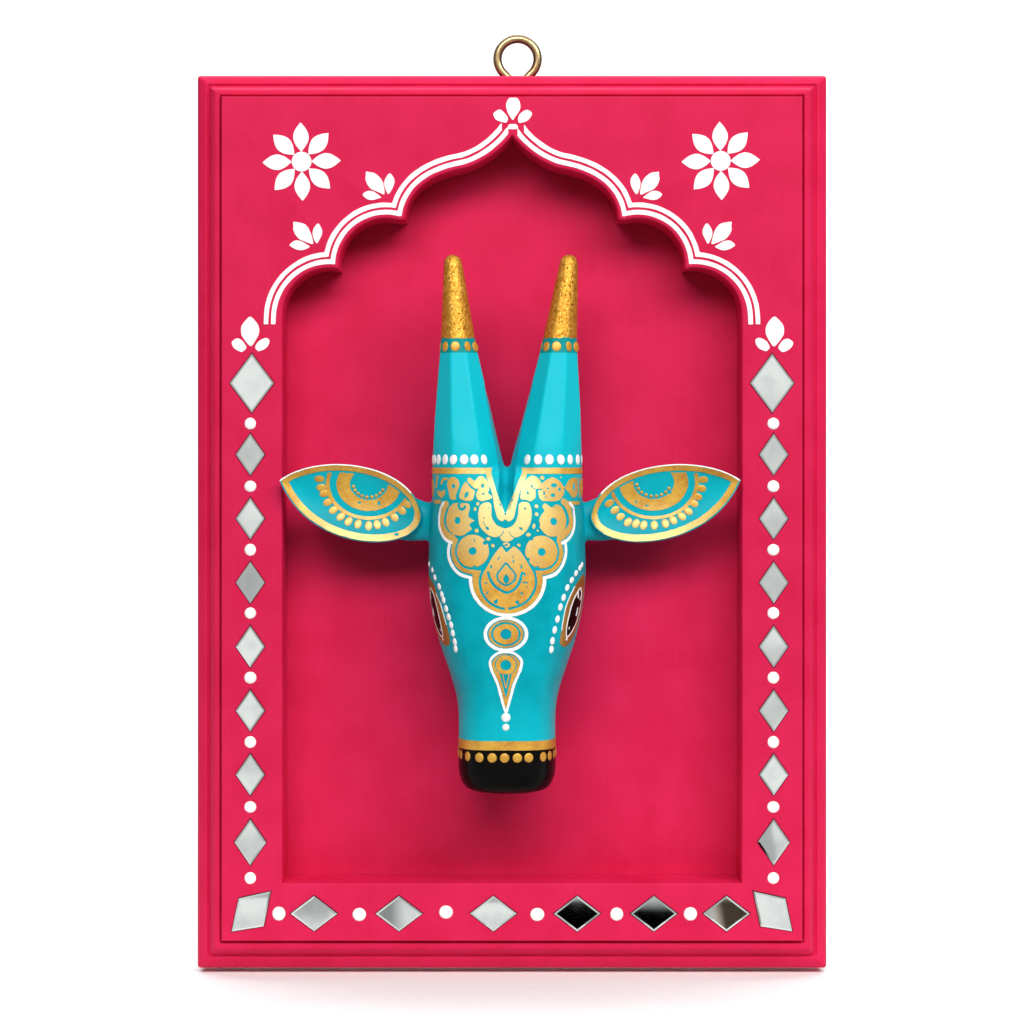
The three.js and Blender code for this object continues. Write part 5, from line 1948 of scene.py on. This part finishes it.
# %% Glints in the eyes
# Painted highlights: the points they run through, and their width
GLINTS = [
    ([(-33.9, 129.2), (-34.2, 127.2)], 0.7), ([(-32.6, 123.8), (-31.6, 121.6)], 0.8),
    ([(26.9, 129.4), (27.2, 128)], 0.9), ([(27.4, 124.2), (26.7, 122)], 0.75),
    ([(28.6, 130.3), (30.2, 129.4), (30.2, 128), (28.9, 127)], 0.3),
    ([(-25.9, 117.4), (-25.7, 116.8)], 0.35), ([(22.3, 118.2), (22.3, 117.6)], 0.4),
]
glints = Stencil(-44, 108, 44, 137, grid=0.1)
for points, width in GLINTS:
    glints.add(stroke(curve(points), width))
keep(paint_skin("eye_glints", glints, on_head, spacing=0.75, lift=0.1), white, "teal_paint")

# %% [markdown]
# ## Dots on the head
#
# The dots are the same domes as on the frame. Only where they sit differs: a row is a list of places in
# the unrolled drawing. The dots beside the eyes lie along their row, because the brush was pulled that
# way, and the others stand upright.

# %% Dots laid on the head
def dots_on(rows, lay):
    """Places, facings, sizes and directions of dots. A row is its points, a dot's size and its way."""
    found = []
    for points, size, way in rows:
        where, out = lay(np.asarray(points, float))
        along = np.tile((0.0, 0.0, 1.0), (len(where), 1)) if way == "up" else np.gradient(where, axis=0)
        found.append((where, out, np.tile(size, (len(where), 1)), along))
    return [np.vstack(column) for column in zip(*found)]


EYE_DOT = (1.3, 0.95, DOT_HEIGHT)
HORN_FOOT_DOT = (1.75, 1.45, DOT_HEIGHT - 0.1)
EYE_DOTS = [
    [(-35.3, 138.6), (-30, 136.9), (-27.5, 134.5), (-24.4, 131.6), (-22.9, 129), (-22.1, 127.3),
     (-20.8, 124.4), (-19.7, 121.7), (-18.7, 119.1), (-18.1, 116.4), (-17.4, 113.6), (-17.2, 111.3)],
    [(30.4, 138.6), (28.3, 137.6), (25.4, 136), (22.9, 133.8), (20.7, 131.4), (19.1, 128.2),
     (17.8, 125.1), (16.7, 121.1), (15.7, 117.6), (14.9, 114), (14.6, 111.2)],
]
HORN_FOOT_DOTS = [
    -58, -53.5, -48.8, -44, -39, -34.2, -29.6, -26.6, -22.7, -18.9, -15.5, -12.4, -9.5, 9.5, 12.4, 15.8,
    19.3, 23.6, 28.2, 33.3, 38.4, 43.2, 48, 53, 57.8]
HORN_FOOT_Z = 173.8
# Under the pendant: height and radius
SINGLE_DOTS = ((89.2, 1.55), (86, 1.15))
white_rows = [(row, EYE_DOT, "along") for row in EYE_DOTS]
white_rows.append(([(s, HORN_FOOT_Z) for s in HORN_FOOT_DOTS], HORN_FOOT_DOT, "up"))
white_rows += [([(RING_AT[0], z)], (r, r, DOT_HEIGHT), "up") for z, r in SINGLE_DOTS]
where, facing, sizes, along = dots_on(white_rows, on_head)
keep(beads("head_white_dots", where, facing, sizes, along, white), white, "teal_paint")

# %% Gold dots on the muzzle and the horns
MUZZLE_DOT = (1.6, 1.6, 0.28)
HORN_DOT = (1.75, 1.6, 0.22)
MUZZLE_DOTS = [
    -81, -76.5, -72, -67.5, -63, -58.5, -54, -49.5, -45, -40.5, -36, -31.6, -27.2, -22.8, -18.2, -13.2,
    -8.4, -4.3, -0.5, 3.4, 6.9, 12.1, 15.6, 20, 24.4, 28.8, 33.2, 37.6, 42, 46.5, 51, 55.5, 60, 64.5, 69,
    73.5, 78]
MUZZLE_DOTS_Z = 75.9
HORN_DOTS = 11
HORN_DOTS_Z = 211.6
HORN_DOTS_START = 230
HORN_RAY_START = 9.5


def round_horns(angles_and_columns):
    """Points round the horns, each given as degrees and its horn's column in the table."""
    hits = []
    for degrees, column in angles_and_columns:
        x, y = (between(HORN_SECTIONS, HORN_DOTS_Z, c) for c in (int(column), 3))
        dx, dy = math.cos(math.radians(degrees)), math.sin(math.radians(degrees))
        start = (x + HORN_RAY_START * dx, y + HORN_RAY_START * dy, HORN_DOTS_Z)
        hits.append(shoot(bare_head, start, (-dx, -dy, 0)))
    return map(np.array, zip(*hits))


horn_places = [(HORN_DOTS_START + 360 * k / HORN_DOTS, column)
               for column in (HORN_LEFT_X, HORN_RIGHT_X) for k in range(HORN_DOTS)]
on_muzzle = dots_on([([(s, MUZZLE_DOTS_Z) for s in MUZZLE_DOTS], MUZZLE_DOT, "up")], on_head)
on_horns = dots_on([(horn_places, HORN_DOT, "up")], round_horns)
where, facing, sizes, along = [np.vstack(pair) for pair in zip(on_muzzle, on_horns)]
keep(beads("head_gold_dots", where, facing, sizes, along, gold), gold, "teal_paint")

# %% [markdown]
# ## Gold on the ears
#
# Each ear has a gold rim inside its lip, a crescent round a chain of beads, a thin arc, and a fan of
# pale drops along the lower edge. They are drawn as seen from the front, then laid in the scoop. The
# distances to the ear's two edges clip them, so they always follow the lip.

# %% Ear paint
LIP_LINE = 0.5
RIM_UPPER = 1.65
RIM_LOWER = 2.1
RIM_START = 28.0
RIM_GAP = 0.7
EAR_TIP_GOLD = 2.8
# A painted highlight along each ear's upper lip: its distance in from the edge, its width and where it
# starts
LIP_HIGHLIGHT_AWAY = 0.3
LIP_HIGHLIGHT_W = 0.28
LIP_HIGHLIGHT_START = 32.0
# Every so many of an edge's points are enough for paint
EDGE_EVERY = 25
CRESCENT_STRETCH = 1.22
# Middle across and up, then rings: chain of beads, crescent's edge, gap's edge, arc's edge
CRESCENTS = {-1: ((-48.4, 165.4), (5.3, 9.0, 10.9, 12.0)), 1: ((47.9, 166.1), (5.7, 9.6, 11.5, 12.5))}
EAR_DROPS = {
    -1: [(-65.1, 167.2), (-64.5, 164.3), (-63.5, 162.3), (-62.4, 159.3), (-60.4, 156.7), (-57.9, 154.5),
         (-55.3, 152.9), (-52.1, 152), (-48.5, 151.4), (-45.6, 151.8), (-42.8, 152.6), (-39.8, 154.3),
         (-37.3, 156.5), (-35.6, 158.7)],
    1: [(64.6, 167), (64, 164), (62.7, 161.2), (61.5, 158.9), (59.6, 156.3), (57.4, 154.6),
        (54.5, 153.3), (51.8, 152.2), (48.1, 151.6), (44.5, 151.6), (41.9, 152.1), (39.2, 152.6),
        (36.8, 154.6), (34.8, 156.7), (32.9, 159)],
}
# Places where the gold is worn through: middle across and up, half width, half height
EAR_WORN = [
    (-51.6, 159.2, 0.6, 0.35), (-45, 159, 0.5, 0.8), (53.5, 162.8, 0.5, 0.7), (45.7, 158.2, 0.7, 0.35),
    (42, 159.4, 0.35, 0.6), (-39, 148.5, 0.8, 0.5)]


def ear_gold(sign):
    """The gold on one ear as a shape: its rim, tip, crescent and arc."""
    lower, upper = (edge[::EDGE_EVERY] for edge in ear_edges(sign))
    low, high, inside = patch(np.vstack([lower, upper[::-1]]))
    to_lower, to_upper = stroke(lower, 0)[2], stroke(upper, 0)[2]
    (x, z), (chain, crescent, gap, arc_edge) = CRESCENTS[sign]
    tip = lower[-1]

    def distance(u, v):
        rim = np.minimum(to_lower(u, v) - LIP_LINE - RIM_LOWER, to_upper(u, v) - LIP_LINE - RIM_UPPER)
        tip_fill = np.hypot(u - tip[0], v - tip[1]) - EAR_TIP_GOLD
        band = np.maximum(np.minimum(rim, tip_fill), RIM_START - sign * (u - EAR_MIDDLE_X))
        k = np.hypot((u - x) / CRESCENT_STRETCH, v - z)
        rings = np.minimum(np.maximum(chain - k, k - crescent), np.maximum(gap - k, k - arc_edge))
        rings = np.maximum(rings, RIM_GAP - rim)
        return np.maximum(np.minimum(band, rings), inside(u, v) + LIP_LINE)
    return low, high, distance


ears_gold = Stencil(-82, 138, 80, 178)
for sign in (-1, 1):
    ears_gold.add(ear_gold(sign))
for worn in EAR_WORN:
    ears_gold.cut(oval(*worn))
ears_gold.waver(1.4, 0.04, seed=8)
print("gold on the ears:", ears_gold.painted())
keep(paint_skin("ears_gold", ears_gold, on_ear), gold, "teal_paint")


def ear_lip_highlight(sign):
    """A thin pale line on the ear's upper lip, a painted highlight where the lip catches the light."""
    lower, upper = (edge[::EDGE_EVERY] for edge in ear_edges(sign))
    low, high, to_upper = stroke(upper, 0)
    inside = patch(np.vstack([lower, upper[::-1]]))[2]

    def distance(u, v):
        line = np.abs(to_upper(u, v) - LIP_HIGHLIGHT_AWAY) - LIP_HIGHLIGHT_W / 2
        return np.max([line, inside(u, v), LIP_HIGHLIGHT_START - sign * (u - EAR_MIDDLE_X)], axis=0)
    return low - 1, high + 1, distance


lip_highlights = Stencil(-82, 138, 80, 178)
for sign in (-1, 1):
    lip_highlights.add(ear_lip_highlight(sign))
keep(paint_skin("ears_lip_highlight", lip_highlights, on_ear), white, "teal_paint")

# %% Chain and drops on the ears
# Degrees from one end of the chain to just past the other, and from bead to bead
CHAIN_DEG = (190, 352, 18)
CHAIN_BEAD = (0.6, 0.6, 0.3)
CHAIN_INSIDE = 0.95
EAR_DROP = (1.8, 1.3, 0.22)
chains = []
for sign in (-1, 1):
    (x, z), (chain, *_) = CRESCENTS[sign]
    r = chain - CHAIN_INSIDE
    angles = np.radians(np.arange(*CHAIN_DEG))
    beads_at = [(x + CRESCENT_STRETCH * r * math.cos(a), z + r * math.sin(a)) for a in angles]
    chains.append((beads_at, CHAIN_BEAD, "up"))
where, facing, sizes, along = dots_on(chains, on_ear)
for sign in (-1, 1):
    (x, z), _ = CRESCENTS[sign]
    at, out = on_ear(EAR_DROPS[sign])
    where, facing = np.vstack([where, at]), np.vstack([facing, out])
    sizes = np.vstack([sizes, np.tile(EAR_DROP, (len(at), 1))])
    along = np.vstack([along, at - (x, EAR_Y, z)])
keep(beads("ear_gold_dots", where, facing, sizes, along, gold), gold, "teal_paint")

# %% [markdown]
# ## Floor, light and what the mirrors see
#
# The studio is a white sweep: a floor that curves up behind, so no line divides them. A large soft
# light above and in front makes the shadows under the arch, the ears and the muzzle. A narrow strip
# light over the frame brightens the floor and the upper edges, a third light whitens the sweep behind,
# and a dim even world fills the rest. A mirror only looks like one if it has something to reflect, so
# a card stands in front, out of view: it shows in reflections only.

# %% Sweep
SWEEP_W = 9000.0
SWEEP_FRONT = -115.0
SWEEP_BACK = 2800.0
SWEEP_R = 1500.0
SWEEP_H = 4000.0
SWEEP_STEPS = 16
FLOOR_Z = -1.7
PAPER = (0.89, 0.93, 0.93, 1)
PAPER_DEEP = (0.86, 0.9, 0.9, 1)


def sweep():
    """The floor, its curve and the wall behind as points and faces."""
    line = [(SWEEP_FRONT, FLOOR_Z), (SWEEP_BACK - SWEEP_R, FLOOR_Z)]
    for k in range(1, SWEEP_STEPS + 1):
        t = math.pi / 2 * k / SWEEP_STEPS
        y = SWEEP_BACK - SWEEP_R + SWEEP_R * math.sin(t)
        line.append((y, FLOOR_Z + SWEEP_R * (1 - math.cos(t))))
    line.append((SWEEP_BACK, SWEEP_H))
    points = [(x, y, z) for y, z in line for x in (-SWEEP_W / 2, SWEEP_W / 2)]
    faces = [(2 * i, 2 * i + 1, 2 * i + 3, 2 * i + 2) for i in range(len(line) - 1)]
    return points, faces


mix = Finish("studio_paper")
fibres = mix.noise(3, detail=3)
mix.set(Base_Color=mix.mix(mix.ramp(fibres, 0.3, 0.7), PAPER_DEEP, PAPER))
mix.set(Roughness=0.9, Specular_IOR_Level=0.1, Normal=mix.bump(fibres, 0.02))
floor = new_object("floor", *sweep())
floor.data.materials.append(mix.material)
print("the sweep is", SWEEP_W * MM, "m wide and", SWEEP_H * MM, "m tall")

# %% Lights
# Places and aims in layout millimetres, sizes in metres, power in watts
KEY_AT = (200.0, -900.0, 850.0)
KEY_SIZE = (1.7, 0.42)
KEY_POWER = 20.5
TOP_AT = (0.0, 180.0, 1500.0)
TOP_SIZE = (2, 0.2)
TOP_POWER = 5.5
TOP_AIM = (0.0, 40.0, 0.0)
BACKDROP_LIGHT_AT = (0.0, 1300.0, 2300.0)
BACKDROP_SIZE = (4, 2)
BACKDROP_AIM = (0.0, 2200.0, 300.0)
BACKDROP_POWER = 90.0
AIM_AT = (0.0, 0.0, 150.0)
# Strength of the world as fill light, and as seen in gloss
FILL = 0.08
SEEN_IN_GLOSS = 0.5


def area_light(name, at, size, power, aim=AIM_AT):
    data = bpy.data.lights.new(name, "AREA")
    data.shape = "RECTANGLE"
    data.size, data.size_y = size
    data.energy = power
    lamp = bpy.data.objects.new(name, data)
    bpy.context.scene.collection.objects.link(lamp)
    lamp.location = place(at)
    towards = Vector(place(aim)) - lamp.location
    lamp.rotation_euler = towards.to_track_quat("-Z", "Y").to_euler()
    return lamp


area_light("key", KEY_AT, KEY_SIZE, KEY_POWER)
area_light("top_light", TOP_AT, TOP_SIZE, TOP_POWER, aim=TOP_AIM)
area_light("backdrop_light", BACKDROP_LIGHT_AT, BACKDROP_SIZE, BACKDROP_POWER, aim=BACKDROP_AIM)
print("three lights, and a world of strength", FILL)

# %% World
world = bpy.data.worlds.new("studio")
bpy.context.scene.world = world
world.use_nodes = True
tree = world.node_tree
ray = add_node(tree, "ShaderNodeLightPath").outputs
gloss = add_node(tree, "ShaderNodeMath", {0: ray["Is Glossy Ray"], 1: SEEN_IN_GLOSS - FILL, 2: FILL},
                 operation="MULTIPLY_ADD")
strength = add_node(tree, "ShaderNodeMath", {0: ray["Is Camera Ray"], 1: gloss.outputs[0]},
                    operation="MAXIMUM")
feed(tree, tree.nodes["Background"].inputs["Color"], (1, 1, 1, 1))
feed(tree, tree.nodes["Background"].inputs["Strength"], strength.outputs[0])
bpy.context.scene.view_settings.view_transform = "Standard"
print("view transform:", bpy.context.scene.view_settings.view_transform)

# %% Card that the mirrors see
# From the floor before the frame up to eye level: depth and height
CARD_LINE = [(-45, 0.5), (-190, 0.5), (-700, 30), (-930, 120), (-960, 330), (-880, 700)]
CARD_HALF_W = 225.0
CARD_OPEN_HALF_W = 98.0
# Dark places on the card: middle across and along, half width, half length, how dark. The last is brown
DARK_PLACES = [
    (-77, -112, 11, 60, 0.4), (-48, -112, 12, 80, 0.6), (12, -112, 8, 60, 0.4), (27, -140, 18, 110, 1),
    (56, -112, 17, 70, 1), (82, -110, 12, 70, 0.93)]
# Shares of the half width and half length that are fully dark
DARK_CORE = (0.55, 0.45)
CARD_TINT = (1, 0.99, 0.98, 1)
CARD_BROWN = (1, 0.7, 0.52, 1)


def room_card():
    """A softly clouded sheet with a few dark places, seen only in reflections."""
    mix = Finish("room_card")
    clouds = mix.noise(90, detail=0)
    strength = mix.ramp(clouds, 0.36, 0.62, 0.7, 0.98)
    for x, y, half_w, half_l, dark in DARK_PLACES:
        middle = place((x, y, 0))
        across = mix.math("ABSOLUTE", mix.math("SUBTRACT", mix.axis("X"), middle[0]))
        along = mix.math("ABSOLUTE", mix.math("SUBTRACT", mix.axis("Y"), middle[1]))
        inside = mix.math("MULTIPLY", mix.ramp(across, half_w * MM, half_w * DARK_CORE[0] * MM),
                          mix.ramp(along, half_l * MM, half_l * DARK_CORE[1] * MM))
        left_over = mix.math("SUBTRACT", 1.0, mix.math("MULTIPLY", inside, dark))
        strength = mix.math("MULTIPLY", strength, left_over)
    mix.set(Base_Color=(0, 0, 0, 1), Specular_IOR_Level=0.0, Roughness=1.0)
    mix.set(Emission_Color=mix.mix(inside, CARD_TINT, CARD_BROWN), Emission_Strength=strength)
    columns = (-CARD_HALF_W, -CARD_OPEN_HALF_W, CARD_OPEN_HALF_W, CARD_HALF_W)
    points = [(x, y, z) for y, z in CARD_LINE for x in columns]
    # The first row is whole, and the rows above it leave the middle open for the camera
    corners = [0, 1, 2] + [a for row in range(1, len(CARD_LINE) - 1) for a in (4 * row, 4 * row + 2)]
    card = new_object("room_card", points, [(a, a + 1, a + 5, a + 4) for a in corners])
    card.data.materials.append(mix.material)
    card.visible_camera = False
    card.visible_diffuse = False
    card.visible_shadow = False
    card.visible_transmission = False
    return card


card = room_card()
print("the card has", len(card.data.polygons), "faces")
